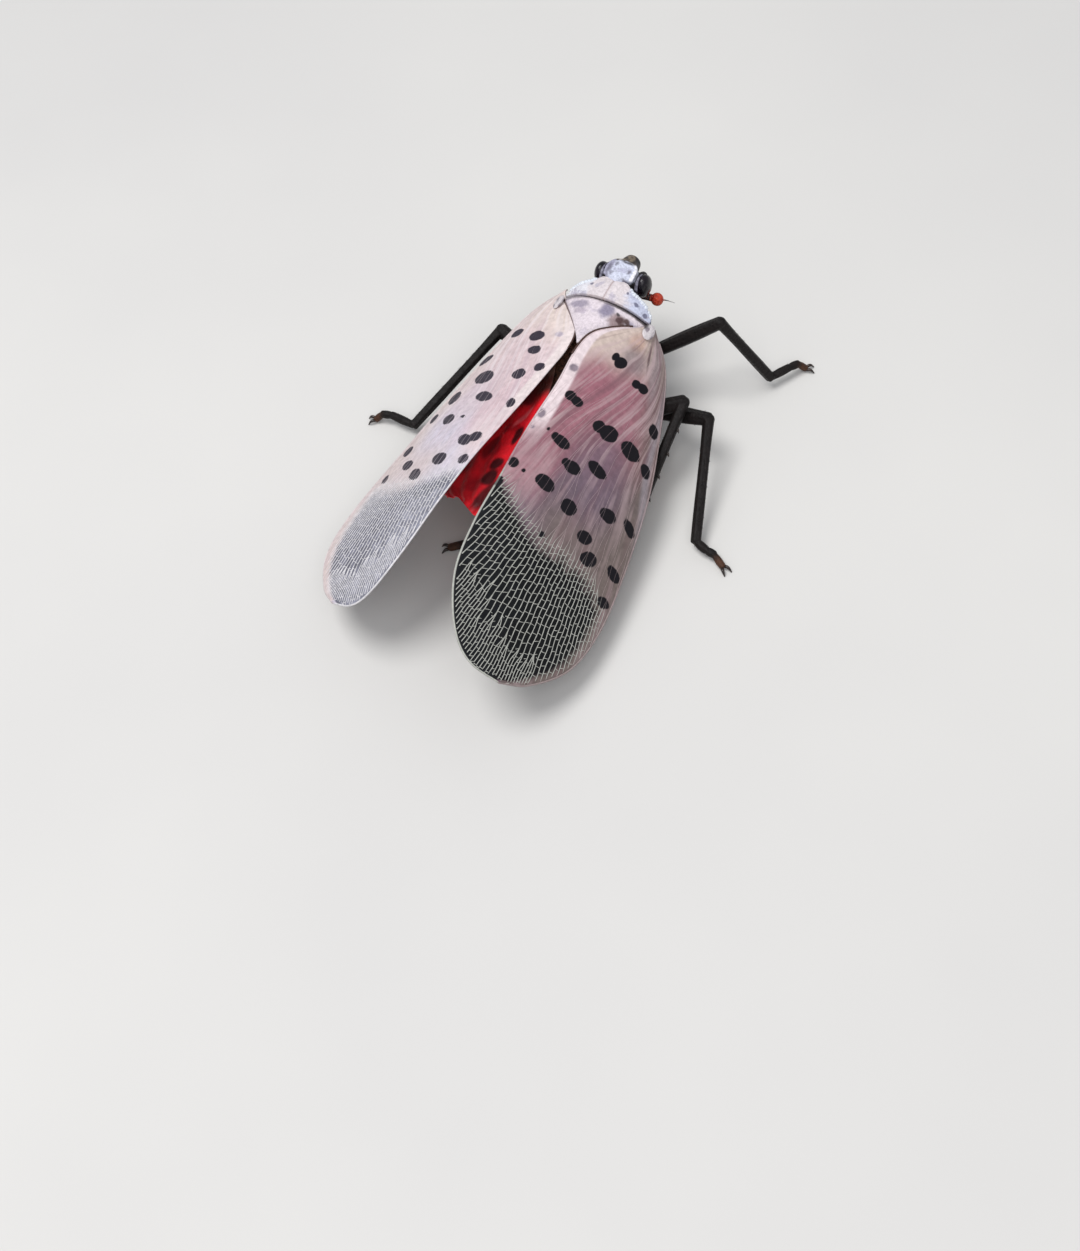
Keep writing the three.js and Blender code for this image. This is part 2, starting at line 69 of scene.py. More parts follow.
VIEW_RIGHT = Vector((0.8677, 0.4818, -0.1225)).normalized()
VIEW_BACK = Vector((0.3501, -0.4172, 0.8387)).normalized()
PHOTO_WIDTH, PHOTO_HEIGHT = 1080, 1251
FOCAL_PIXELS = 1800

camera = bpy.data.objects.new("camera", bpy.data.cameras.new("camera"))
camera.data.sensor_width = 36
camera.data.lens = 36 * FOCAL_PIXELS / PHOTO_HEIGHT
camera.data.clip_start = 0.005
camera.data.clip_end = 5
view_up = VIEW_BACK.cross(VIEW_RIGHT).normalized()
turn = Matrix((VIEW_BACK.cross(view_up) * -1, view_up, VIEW_BACK)).transposed()
camera.matrix_world = Matrix.Translation(Vector((VIEW_FROM + HOME) / 1000)) @ turn.to_4x4()
bpy.context.scene.collection.objects.link(camera)
bpy.context.scene.camera = camera


def in_photo(point):
    """The pixel of the photo at which a point about the home point is seen."""
    away = Vector(point - VIEW_FROM)
    scale = FOCAL_PIXELS / -away.dot(VIEW_BACK)
    x = PHOTO_WIDTH / 2 + scale * away.dot(VIEW_RIGHT)
    return np.array([x, PHOTO_HEIGHT / 2 - scale * away.dot(view_up)])


# Body: thorax, abdomen and head in one hide. The thorax is a box of hard dark plates dusted with wax, the
# abdomen is soft and yellow with a black bar across each ring, and the head is waxed above and dark below.
# It is lofted in rings, and the parts are grown together and smoothed.
BACK_HEIGHT = 6.46
BODY_PITCH = math.radians(4.7)
ABDOMEN_RINGS = 8
ABDOMEN_FROM, ABDOMEN_TO = -1.5, -9.6
SKIN_GRAIN = 0.045


def on_body(points):
    """From the body's own axes, with the back at z = 0, to the standing insect's."""
    p = np.asarray(points, float)
    c, s = math.cos(BODY_PITCH), math.sin(BODY_PITCH)
    y = p[..., 1] * c - p[..., 2] * s
    z = p[..., 1] * s + p[..., 2] * c + BACK_HEIGHT
    return np.stack([p[..., 0], y, z], -1)


def add_piece(name, points, faces):
    """A smooth mesh object from points in millimetres about the home point, its faces turned outwards."""
    mesh = bpy.data.meshes.new(name)
    mesh.from_pydata(((np.asarray(points) + HOME) / 1000).tolist(), [], [list(f) for f in faces])
    mesh.validate()
    turned = bmesh.new()
    turned.from_mesh(mesh)
    bmesh.ops.recalc_face_normals(turned, faces=turned.faces)
    turned.to_mesh(mesh)
    turned.free()
    mesh.polygons.foreach_set("use_smooth", [True] * len(mesh.polygons))
    piece = bpy.data.objects.new(name, mesh)
    bpy.context.scene.collection.objects.link(piece)
    return piece


def tube_faces(rings, sides):
    """Faces of a tube of point rings with a fan of faces at each end; the two end points come last."""
    faces = []
    for i in range(rings - 1):
        for j in range(sides):
            a, b = i * sides + j, i * sides + (j + 1) % sides
            faces.append((a, b, b + sides, a + sides))
    start, end = rings * sides, rings * sides + 1
    for j in range(sides):
        k = (j + 1) % sides
        faces.append((start, k, j))
        faces.append((end, (rings - 1) * sides + j, (rings - 1) * sides + k))
    return faces


def spread(stations, count):
    """A table of stations made smooth: Catmull-Rom through every column, at evenly spread places."""
    table = np.asarray(stations, float)
    padded = np.vstack([2 * table[0] - table[1], table, 2 * table[-1] - table[-2]])
    rows = []
    for place in np.linspace(0, len(table) - 1, count):
        i = min(int(place), len(table) - 2)
        t = place - i
        before, start, end, after = padded[i : i + 4]
        leave, arrive = (end - before) / 2, (after - start) / 2
        near = (2 * t**3 - 3 * t**2 + 1) * start + (t**3 - 2 * t**2 + t) * leave
        rows.append(near + (3 * t**2 - 2 * t**3) * end + (t**3 - t**2) * arrive)
    return np.array(rows)


def trunk(stations, rings=90, sides=72):
    """A trunk along the back: stations of y, height of the middle, half width, rise above, depth below."""
    angle = np.linspace(0, 2 * math.pi, sides, endpoint=False)
    rise = np.sin(angle)
    loops = []
    for y, z, half, above, below in spread(stations, rings):
        depth = np.where(rise > 0, max(above, 0.02), max(below, 0.02))
        loops.append(np.stack([max(half, 0.02) * np.cos(angle), np.full(sides, y), z + depth * rise], -1))
    ends = [loops[0].mean(0), loops[-1].mean(0)]
    return np.vstack(loops + [ends]), tube_faces(rings, sides)


def limb(path, radii, sides=16, rings=24, ribs=0.0):
    """A round limb along a smooth path, with rounded ends; ribs makes it five-edged."""
    centre = spread(path, rings)
    ahead = np.gradient(centre, axis=0)
    ahead /= np.linalg.norm(ahead, axis=1)[:, None]
    across = np.cross(ahead, [0.0, 0.0, 1.0])
    across /= np.linalg.norm(across, axis=1)[:, None] + 1e-9
    up = np.cross(across, ahead)
    size = spread([[r] for r in radii], rings)[:, 0]
    angle = np.linspace(0, 2 * math.pi, sides, endpoint=False)[:, None]
    outline = 1 + ribs * np.cos(5 * angle)
    stops = [(0, -step) for step in (0.92, 0.7, 0.38)] + [(i, 0.0) for i in range(rings)]
    stops += [(rings - 1, step) for step in (0.38, 0.7, 0.92)]
    loops = []
    for i, reach in stops:
        ring = outline * (np.cos(angle) * across[i] + np.sin(angle) * up[i])
        loops.append(centre[i] + size[i] * (0.6 * reach * ahead[i] + math.sqrt(1 - reach**2) * ring))
    ends = [loops[0].mean(0), loops[-1].mean(0)]
    return np.vstack(loops + [ends]), tube_faces(len(loops), sides)


def ball(centre, radii, sides=40, rings=24):
    """A ball with its three half axes."""
    angle = np.linspace(0, 2 * math.pi, sides, endpoint=False)
    loops = []
    for down in np.linspace(0, math.pi, rings + 2)[1:-1]:
        level = np.full(sides, math.cos(down))
        loops.append(np.stack([math.sin(down) * np.cos(angle), math.sin(down) * np.sin(angle), level], -1))
    ends = [np.array([0, 0, 1.0]), np.array([0, 0, -1.0])]
    return np.vstack(loops + [ends]) * np.array(radii) + np.array(centre), tube_faces(rings, sides)


def merge(shapes):
    """Several (points, faces) shapes as one."""
    points, faces, start = [], [], 0
    for p, f in shapes:
        points.append(p)
        faces += [tuple(i + start for i in face) for face in f]
        start += len(p)
    return np.vstack(points), faces


def grow_together(piece, grain, rounds):
    """Makes one skin of overlapping shapes, and smooths it."""
    remesh = piece.modifiers.new("grow_together", "REMESH")
    remesh.mode = "VOXEL"
    remesh.voxel_size = grain / 1000
    smoothing = piece.modifiers.new("soften", "SMOOTH")
    smoothing.factor = 0.5
    smoothing.iterations = rounds
    bpy.context.view_layer.update()
    shown = piece.evaluated_get(bpy.context.evaluated_depsgraph_get())
    mesh = bpy.data.meshes.new_from_object(shown)
    piece.modifiers.clear()
    piece.data = mesh
    mesh.polygons.foreach_set("use_smooth", [True] * len(mesh.polygons))


def places(piece):
    """A piece's points in millimetres about the home point."""
    co = np.zeros(len(piece.data.vertices) * 3)
    piece.data.vertices.foreach_get("co", co)
    return co.reshape(-1, 3) * 1000 - HOME


def store(piece, name, values):
    """Keeps one number, or one colour, for each point of a piece."""
    values = np.asarray(values, float)
    if values.ndim == 1:
        kept = piece.data.attributes.new(name, "FLOAT", "POINT")
        kept.data.foreach_set("value", values.astype(np.float32))
        return
    colours = np.hstack([values, np.ones((len(values), 1))]).astype(np.float32)
    kept = piece.data.attributes.new(name, "FLOAT_COLOR", "POINT")
    kept.data.foreach_set("color", colours.ravel())


def ramp(x, low, high):
    """0 below low, 1 above high, and smooth between."""
    t = np.clip((np.asarray(x, float) - low) / (high - low), 0, 1)
    return t * t * (3 - 2 * t)


def tone(red, green, blue):
    """A colour as seen on a screen, 0 to 255, as linear light."""
    c = np.array([red, green, blue]) / 255
    return np.where(c <= 0.04045, c / 12.92, ((c + 0.055) / 1.055) ** 2.4)


def blend(base, colour, share):
    """Lays a colour over a base, more or less thickly from place to place."""
    share = np.asarray(share)[..., None]
    return base * (1 - share) + colour * share


def dab(points, centre, radii, soft=0.3):
    """How thickly a soft-edged dab covers each point."""
    away = np.linalg.norm((points[..., : len(radii)] - np.array(centre)) / np.array(radii), axis=-1)
    return 1 - ramp(away, 1 - soft, 1 + soft)


def ripple(points, size, seed):
    """Soft blotches from -1 to 1: a few crossed waves of one size, the same every run."""
    rng = np.random.default_rng(seed)
    total = 0
    for _ in range(9):
        way = rng.normal(size=3)
        way *= 2 * math.pi / (size * rng.uniform(0.7, 1.4) * np.linalg.norm(way))
        total = total + np.sin(points @ way + rng.uniform(0, 6.28))
    return np.clip(total / 4, -1, 1)


class Finish:
    """A material made step by step from nodes."""

    def __init__(self, name, roughness=0.5, **settings):
        self.material = bpy.data.materials.new(name)
        self.material.use_nodes = True
        self.tree = self.material.node_tree
        self.shader = self.tree.nodes["Principled BSDF"]
        self.shader.inputs["Roughness"].default_value = roughness
        for socket, value in settings.items():
            self.shader.inputs[socket.replace("_", " ")].default_value = value

    def node(self, kind, **settings):
        made = self.tree.nodes.new(kind)
        for key, value in settings.items():
            setattr(made, key, value)
        return made

    def link(self, source, target):
        self.tree.links.new(source, target)

    def base(self, source):
        self.link(source, self.shader.inputs["Base Color"])

    def value(self, name):
        return self.node("ShaderNodeAttribute", attribute_name=name).outputs["Fac"]

    def colour(self, name):
        return self.node("ShaderNodeAttribute", attribute_name=name).outputs["Color"]

    def noise(self, per_mm, detail=4.0, roughness=0.55):
        """Soft noise with so many blotches to a millimetre."""
        made = self.node("ShaderNodeTexNoise")
        made.inputs["Scale"].default_value = 1000 * per_mm
        made.inputs["Detail"].default_value = detail
        made.inputs["Roughness"].default_value = roughness
        self.link(self.node("ShaderNodeTexCoord").outputs["Object"], made.inputs["Vector"])
        return made.outputs["Fac"]

    def pits(self, per_mm):
        """Distance to the nearest of scattered points."""
        made = self.node("ShaderNodeTexVoronoi")
        made.inputs["Scale"].default_value = 1000 * per_mm
        self.link(self.node("ShaderNodeTexCoord").outputs["Object"], made.inputs["Vector"])
        return made.outputs["Distance"]

    def math(self, operation, a, b=0.0):
        made = self.node("ShaderNodeMath", operation=operation)
        for socket, source in zip(made.inputs, (a, b)):
            if isinstance(source, (int, float)):
                socket.default_value = source
            else:
                self.link(source, socket)
        return made.outputs[0]

    def stretch(self, source, low, high, to_low=0.0, to_high=1.0):
        made = self.node("ShaderNodeMapRange")
        self.link(source, made.inputs["Value"])
        sockets = ("From Min", "From Max", "To Min", "To Max")
        for socket, value in zip(sockets, (low, high, to_low, to_high)):
            made.inputs[socket].default_value = value
        return made.outputs["Result"]

    def mix(self, share, a, b, how="MIX"):
        made = self.node("ShaderNodeMix", data_type="RGBA", blend_type=how)
        for socket, source in ((made.inputs[0], share), (made.inputs[6], a), (made.inputs[7], b)):
            if isinstance(source, (int, float)):
                socket.default_value = source
            elif isinstance(source, (tuple, list, np.ndarray)):
                socket.default_value = (*[float(c) for c in source], 1.0)
            else:
                self.link(source, socket)
        return made.outputs[2]

    def grained(self, per_mm, darkest, lightest, detail=5.0):
        """The painted colour, a little darker and lighter from grain to grain."""
        grain = self.stretch(self.noise(per_mm, detail), 0.34, 0.68, darkest, lightest)
        return self.mix(1.0, self.colour("paint"), grain, "MULTIPLY")

    def two_tone(self, per_mm, first, second):
        """Two colours in soft blotches."""
        return self.mix(self.stretch(self.noise(per_mm), 0.36, 0.66), first, second)

    def uneven(self, per_mm, smoothest, roughest):
        roughness = self.stretch(self.noise(per_mm), 0.3, 0.7, smoothest, roughest)
        self.link(roughness, self.shader.inputs["Roughness"])

    def bump(self, height, depth_mm, strength=1.0):
        made = self.node("ShaderNodeBump")
        made.inputs["Strength"].default_value = strength
        made.inputs["Distance"].default_value = depth_mm / 1000
        self.link(height, made.inputs["Height"])
        if self.shader.inputs["Normal"].is_linked:
            self.link(self.shader.inputs["Normal"].links[0].from_socket, made.inputs["Normal"])
        self.link(made.outputs["Normal"], self.shader.inputs["Normal"])

    def wear(self, piece):
        piece.data.materials.clear()
        piece.data.materials.append(self.material)


abdomen_stations = []
for i in range(2 * ABDOMEN_RINGS + 1):
    share = i / (2 * ABDOMEN_RINGS)
    half = 2.6 * math.sin(math.pi * (0.2 + 0.78 * share)) ** 0.6 * (1 if i % 2 else 0.95)
    along = ABDOMEN_FROM + (ABDOMEN_TO - ABDOMEN_FROM) * share
    abdomen_stations.append((along, -2.45 - 0.55 * share, half, 0.58 * half, 0.8 * half))
THORAX_STATIONS = [
    (4.5, -1.9, 0.8, 0.8, 1.1),
    (4.1, -2.0, 1.2, 0.95, 1.4),
    (3.6, -2.05, 1.85, 1.1, 2.0),
    (3.0, -2.1, 2.15, 1.2, 2.1),
    (1.8, -2.2, 2.35, 1.2, 2.1),
    (0.5, -2.2, 2.33, 1.15, 2.1),
    (-0.7, -2.2, 2.25, 1.05, 2.0),
    (-1.9, -2.35, 2.05, 1.0, 1.7),
    (-2.6, -2.5, 1.6, 0.8, 1.4),
]
# Head levels from the crown down: height, middle forward, half depth, half width.
HEAD_LEVELS = [
    (0.08, 4.95, 0.45, 0.5),
    (0.02, 4.98, 0.66, 0.72),
    (-0.12, 5.0, 0.78, 0.84),
    (-0.3, 5.02, 0.84, 0.88),
    (-0.9, 5.02, 0.86, 0.93),
    (-1.6, 4.97, 0.8, 0.98),
    (-2.4, 4.87, 0.68, 0.88),
    (-3.1, 4.74, 0.5, 0.64),
    (-3.7, 4.62, 0.36, 0.42),
    (-4.1, 4.5, 0.24, 0.26),
]
HEAD_SIDES, HEAD_RINGS = 64, 60
SNOUT_ROUTE = [(0, 5.1, -0.6), (0, 5.7, -0.66), (0, 6.17, -0.76)]
SNOUT_RADII = [0.6, 0.58, 0.48]
# The keels down the face, as a share of its half width.
FACE_KEELS = (-0.62, 0, 0.62)

around = np.linspace(0, 2 * math.pi, HEAD_SIDES, endpoint=False)
head_rings = []
for z, y, deep, wide in spread(HEAD_LEVELS, HEAD_RINGS):
    level = np.full(HEAD_SIDES, z)
    head_rings.append(np.stack([wide * np.cos(around), y + deep * np.sin(around), level], -1))
head_ends = [head_rings[0].mean(0), head_rings[-1].mean(0)]
head_shapes = [(np.vstack(head_rings + [head_ends]), tube_faces(HEAD_RINGS, HEAD_SIDES))]
head_shapes.append(limb(SNOUT_ROUTE, SNOUT_RADII, sides=32, rings=20))
head_shapes.append(ball((0, 5.2, -3.25), (0.36, 0.36, 0.62)))
for keel in FACE_KEELS:
    route = [(keel * wide, y + deep * math.sqrt(1 - keel**2), z) for z, y, deep, wide in HEAD_LEVELS[4:8]]
    head_shapes.append(limb(route, [0.07, 0.07, 0.06, 0.04], sides=12, rings=30))
for side in (-1, 1):
    ridge = [
        (side * 0.78, 4.6, -0.14), (side * 0.8, 5.1, -0.06),
        (side * 0.66, 5.5, -0.1), (side * 0.42, 5.85, -0.3),
    ]
    head_shapes.append(limb(ridge, [0.09, 0.1, 0.09, 0.07], sides=12, rings=30))
    head_shapes.append(ball((side * 0.96, 5.16, -0.92), (0.32, 0.7, 0.66)))

hide_points, hide_faces = merge([trunk(THORAX_STATIONS), trunk(abdomen_stations, rings=120)] + head_shapes)
hide = add_piece("body_hide", on_body(hide_points), hide_faces)
grow_together(hide, SKIN_GRAIN, 5)

lowered = places(hide) - [0, 0, BACK_HEIGHT]
c, s = math.cos(BODY_PITCH), math.sin(BODY_PITCH)
own_x = lowered[:, 0]
own_y = lowered[:, 1] * c + lowered[:, 2] * s
own_z = -lowered[:, 1] * s + lowered[:, 2] * c
own = np.stack([own_x, own_y, own_z], -1)
mottle = ripple(own, 0.7, 3)
fine = ripple(own, 0.25, 4)
ring_share = (own_y - ABDOMEN_FROM) / (ABDOMEN_TO - ABDOMEN_FROM) * ABDOMEN_RINGS
bar = ramp(np.cos(2 * math.pi * ring_share) + 0.25 * mottle, -0.3, 0.25)
belly = blend(tone(206, 160, 48), tone(26, 22, 20), bar)
chest = blend(tone(54, 45, 43), tone(140, 130, 132), ramp(mottle, 0.0, 0.8) * 0.5)
paint = blend(chest, belly, ramp(-own_y, 1.6, 2.1))
brown_back = blend(tone(104, 70, 54), tone(60, 40, 34), ramp(fine, 0, 1))
paint = blend(paint, brown_back, ramp(own_z, -2.0, -1.6) * ramp(own_y, -5.5, -4.5))

# The crown is waxed lilac-white, duller on the left, with small dots, a painted highlight along the ridge on
# the right and a tan snout with dark edges; everything below and beside it is the near black face.
CROWN_DOTS = [(-0.36, 5.27), (-0.39, 4.64), (0.52, 4.98)]
shaken = own + 0.05 * fine[:, None]
crown = blend(tone(202, 205, 222), tone(150, 146, 170), ramp(mottle + 0.4 * fine, 0.3, 0.9) * 0.5)
for x, y in CROWN_DOTS:
    crown = blend(crown, tone(62, 54, 66), dab(shaken, (x, y), (0.1, 0.13), 0.6) * 0.7)
off_middle = np.abs(own_x) + 0.35 * ramp(own_y, 5.2, 5.8)
crown = blend(crown, tone(146, 142, 164), ramp(-own_x + 0.1 * fine, 0.3, 0.7) * 0.8)
crown = blend(crown, tone(70, 62, 76), dab(shaken, (0.6, 4.42), (0.34, 0.12), 0.5) * 0.8)
crown = blend(crown, tone(74, 68, 84), dab(shaken, (-0.62, 4.95), (0.12, 0.3), 0.6) * 0.6)
# A painted highlight along the ridge on the crown's right side.
right_ridge_highlight = ramp(off_middle, 0.66, 0.74) * ramp(own_z, -0.2, -0.1) * ramp(own_x, 0, 0.3)
crown = blend(crown, tone(232, 230, 238), right_ridge_highlight)
snout_tan = blend(tone(124, 110, 92), tone(62, 52, 48), ramp(fine + mottle, -0.2, 0.6) * 0.8)
crown = blend(crown, snout_tan, ramp(own_y + 0.05 * fine, 5.55, 5.65))
snout_sides = ramp(own_y, 5.5, 5.7) * ramp(np.abs(own_x + 0.1), 0.3, 0.42)
crown = blend(crown, tone(44, 36, 38), snout_sides * 0.85)
crown = blend(crown, tone(190, 184, 180), dab(own, (-0.42, 5.85), (0.1, 0.16)))
crown = blend(crown, tone(38, 30, 32), dab(own, (-0.18, 5.95), (0.14, 0.09)) * 0.9)
crown = blend(crown, tone(42, 35, 38), dab(own, (0.18, 5.52), (0.32, 0.08)) * 0.8)
face = blend(tone(24, 20, 23), tone(74, 68, 74), ramp(mottle + 0.5 * fine, 0.2, 0.9) * 0.5)
face = blend(face, tone(30, 25, 27), ramp(-own_z, 2.5, 3.2) * 0.8)
off_crown = np.maximum(ramp(-own_z, 0.26, 0.42), ramp(off_middle, 0.86, 0.92))
paint = blend(paint, blend(crown, face, off_crown), ramp(own_y, 4.0, 4.2))
store(hide, "paint", paint)

skin = Finish("waxy_hide", roughness=0.55)
skin.base(skin.grained(9, 0.75, 1.18))
skin.uneven(5, 0.42, 0.7)
skin.bump(skin.noise(14, 6), 0.03, 0.8)
skin.bump(skin.pits(7), 0.03, 0.4)
skin.wear(hide)
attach(hide, "root")
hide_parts("thorax", "abdomen", "head")


# Eyes: large glossy knobs that stand out at the sides of the head, dark purple-brown, finely faceted.
# Each is a separate dome sunk in its socket, with a waxed crescent along its upper and hind rim. Below it a
# small dark red simple eye sits like a bead between the eye and the feeler.
EYE_CENTRE = (1.25, 5.06, -0.82)
EYE_RADII = (0.38, 0.56, 0.68)
BEAD_CENTRE = (0.99, 5.4, -1.5)

eye_finish = Finish("eye", roughness=0.25, Coat_Weight=0.25, Coat_Roughness=0.12, Specular_IOR_Level=0.3)
eye_finish.base(eye_finish.two_tone(2.5, tone(8, 6, 12), tone(26, 15, 26)))
eye_finish.bump(eye_finish.pits(26), 0.012, 0.5)
rim_finish = Finish("eye_rim", roughness=0.6)
rim_finish.base(rim_finish.two_tone(6, tone(150, 148, 164), tone(58, 52, 68)))
rim_finish.bump(rim_finish.noise(12), 0.03, 0.8)
bead_finish = Finish("simple_eye", roughness=0.2)
bead_finish.base(bead_finish.two_tone(9, tone(112, 44, 36), tone(80, 30, 26)))
bead_finish.bump(bead_finish.noise(20), 0.005, 0.4)

for word, side in (("right", 1), ("left", -1)):
    centre = np.array([side * EYE_CENTRE[0], *EYE_CENTRE[1:]])
    points, faces = ball(centre, EYE_RADII, sides=64, rings=40)
    eye = add_piece("eye_dome_" + word, on_body(points), faces)
    eye_finish.wear(eye)
    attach(eye, "root")
    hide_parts("eye_" + word)
    crescent = []
    for angle in np.radians(np.linspace(50, 245, 30)):
        crescent.append(centre + [-side * 0.2, 0.5 * math.cos(angle), 0.6 * math.sin(angle)])
    points, faces = limb(crescent, [0.03, 0.07, 0.1, 0.08, 0.03], sides=12, rings=60)
    rim = add_piece("eye_rim_" + word, on_body(points), faces)
    rim_finish.wear(rim)
    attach(rim, "root")
    points, faces = ball((side * BEAD_CENTRE[0], *BEAD_CENTRE[1:]), (0.07, 0.07, 0.07), sides=24, rings=14)
    bead = add_piece("simple_eye_" + word, on_body(points), faces)
    bead_finish.wear(bead)
    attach(bead, "root")


# Feelers: below each eye a short dark stalk carries a swollen orange-red bulb, pitted like a raspberry,
# with one thin bristle standing out of its top.
ANTENNA_CENTRES = {"right": (1.78, 5.28, -1.97), "left": (-1.72, 5.2, -2.35)}
ANTENNA_RADIUS = 0.34

feeler_finish = Finish("feeler", roughness=0.5, Subsurface_Weight=0.1)
feeler_finish.base(feeler_finish.grained(5, 0.7, 1.15))
feeler_finish.bump(feeler_finish.pits(8), 0.06, 0.9)
for word, side in (("right", 1), ("left", -1)):
    x, y, z = ANTENNA_CENTRES[word]
    bulb = ball((x, y, z), (ANTENNA_RADIUS, ANTENNA_RADIUS, 1.1 * ANTENNA_RADIUS))
    stalk_route = [(x - 0.95 * side, y - 0.15, z + 0.15), (x - 0.18 * side, y - 0.03, z + 0.02)]
    stalk = limb(stalk_route, [0.22, 0.2, 0.2])
    bristle_route = [
        (x + 0.2 * side, y + 0.05, z), (x + 0.5 * side, y + 0.2, z - 0.12),
        (x + 0.85 * side, y + 0.35, z - 0.35),
    ]
    bristle = limb(bristle_route, [0.05, 0.03, 0.015, 0.008], sides=8)
    points, faces = merge([bulb, stalk, bristle])
    feeler = add_piece("feeler_" + word, on_body(points), faces)
    from_middle = np.linalg.norm(points - [x, y, z], axis=1)
    redness = 1 - ramp(from_middle, 1.1 * ANTENNA_RADIUS, 1.25 * ANTENNA_RADIUS)
    store(feeler, "paint", blend(tone(36, 24, 26), tone(200, 50, 30), redness))
    feeler_finish.wear(feeler)
    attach(feeler, "root")
    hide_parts("antenna_" + word)


# Beak: a long jointed sheath with the piercing stylets in it, folded back under the thorax.
BEAK_ROUTE = [(0, 4.35, -4.1), (0, 3.6, -4.8), (0, 2.0, -5.0), (0, 0.2, -4.95), (0, -1.4, -4.85)]
beak_finish = Finish("beak", roughness=0.4)
beak_finish.base(beak_finish.two_tone(3, tone(40, 30, 28), tone(74, 54, 44)))
beak_finish.bump(beak_finish.noise(10), 0.03, 0.6)
points, faces = limb(BEAK_ROUTE, [0.33, 0.26, 0.27, 0.24, 0.27, 0.22, 0.24, 0.12], sides=24, rings=80)
beak = add_piece("beak", on_body(points), faces)
beak_finish.wear(beak)
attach(beak, "root")
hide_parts("rostrum")


# Collar: the pronotum, a thin arched plate behind the head, creased down its middle, hollowed behind the
# eyes, its two corners drawn down at the sides. It is hard and lilac-grey under a dusting of white wax that
# gathers in crumbs along the front rim.
PRONOTUM_HALF_WIDTH = 2.5
PRONOTUM_REAR = 3.03
# How far forward the front rim is, at even steps from the middle to the corner.
PRONOTUM_FRONT_RIM = [4.3, 4.36, 4.4, 4.37, 4.2, 4.02, 3.96, 3.88, 3.8, 3.64, 3.35]
COLLAR_DOTS = [(1.6, 3.48, 0.13), (2.2, 3.3, 0.12), (-1.1, 3.75, 0.09), (1.0, 3.85, 0.08)]


def collar_at(share, ahead):
    """A point on the collar's top: share is -1 to 1 across, ahead is 0 at the hind rim, 1 at the front."""
    out = np.abs(share)
    rim = spread([[y] for y in PRONOTUM_FRONT_RIM], 200)[:, 0]
    front = np.interp(out, np.linspace(0, 1, 200), rim)
    rear = PRONOTUM_REAR + 0.1 * out**2
    y = rear + (front - rear) * ahead
    hollow = 0.05 * np.exp(-(((out - 0.3) / 0.12) ** 2)) * np.sin(math.pi * ahead)
    crease = -0.035 * np.exp(-((share / 0.02) ** 2)) - hollow
    z = 0.06 - 1.15 * out**2.2 + crease - 0.04 * (1 - ahead) ** 4 - 0.1 * ahead**6
    return np.stack([share * PRONOTUM_HALF_WIDTH, y, z], -1)


def plate(top, thickness, name):
    """A closed plate under a grid of points, its lower face drawn in a little."""
    rows, columns = top.shape[:2]
    below = top - [0, 0, thickness]
    middle = top.reshape(-1, 3).mean(0)
    below[..., :2] = middle[:2] + (below[..., :2] - middle[:2]) * 0.97
    points = np.vstack([top.reshape(-1, 3), below.reshape(-1, 3)])
    count = rows * columns
    faces = []
    for i in range(rows - 1):
        for j in range(columns - 1):
            a = i * columns + j
            faces.append((a, a + 1, a + columns + 1, a + columns))
            faces.append((count + a, count + a + columns, count + a + columns + 1, count + a + 1))
    rim = list(range(columns))
    rim += [i * columns + columns - 1 for i in range(1, rows)]
    rim += [(rows - 1) * columns + j for j in range(columns - 2, -1, -1)]
    rim += [i * columns for i in range(rows - 2, 0, -1)]
    for a, b in zip(rim, rim[1:] + rim[:1]):
        faces.append((a, count + a, count + b, b))
    return add_piece(name, points, faces)


share, ahead = np.meshgrid(np.linspace(-1, 1, 241), np.linspace(0, 1, 61), indexing="ij")
collar_top = collar_at(share, ahead)
collar = plate(on_body(collar_top), 0.34, "collar")
flat = np.vstack([collar_top.reshape(-1, 3)] * 2)
patch = ripple(flat, 0.9, 11) + 0.5 * ripple(flat, 0.3, 12)
crumbs = ripple(flat, 0.16, 13)
outward, forward = np.tile(share.ravel(), 2), np.tile(ahead.ravel(), 2)
wax = blend(tone(216, 206, 208), tone(198, 202, 222), ramp(outward + 0.1 * patch, 0.3, 0.55))
wax = blend(wax, tone(222, 220, 226), ramp(-outward + 0.1 * patch, 0.35, 0.55))
wax = blend(wax, tone(160, 154, 176), ramp(patch, 0.3, 1.0) * 0.5)
towards_corners = ramp(np.abs(outward), 0.35, 0.6)
wax = blend(wax, tone(176, 168, 184), ramp(crumbs + patch, 0.5, 1.2) * towards_corners * 0.6)
wax = blend(wax, tone(150, 122, 120), np.exp(-(((outward + 0.01) / 0.014) ** 2)) * 0.6)
for x, y, radius in COLLAR_DOTS:
    wax = blend(wax, tone(84, 82, 108), dab(flat + 0.04 * patch[:, None], (x, y), (radius, radius)) * 0.8)
# Painted shade along the hind rim, where the collar overlaps the shield.
wax = blend(wax, tone(120, 98, 96), (1 - ramp(forward, 0.0, 0.05)) * 0.4)
store(collar, "paint", wax)

wax_finish = Finish("wax_plate", roughness=0.55)
wax_finish.base(wax_finish.grained(8, 0.84, 1.1))
wax_finish.uneven(4, 0.45, 0.68)
wax_finish.bump(wax_finish.noise(10, 6), 0.035, 0.9)
wax_finish.bump(wax_finish.noise(2.2, 2), 0.12, 0.6)
wax_finish.wear(collar)
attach(collar, "root")
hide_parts("pronotum")

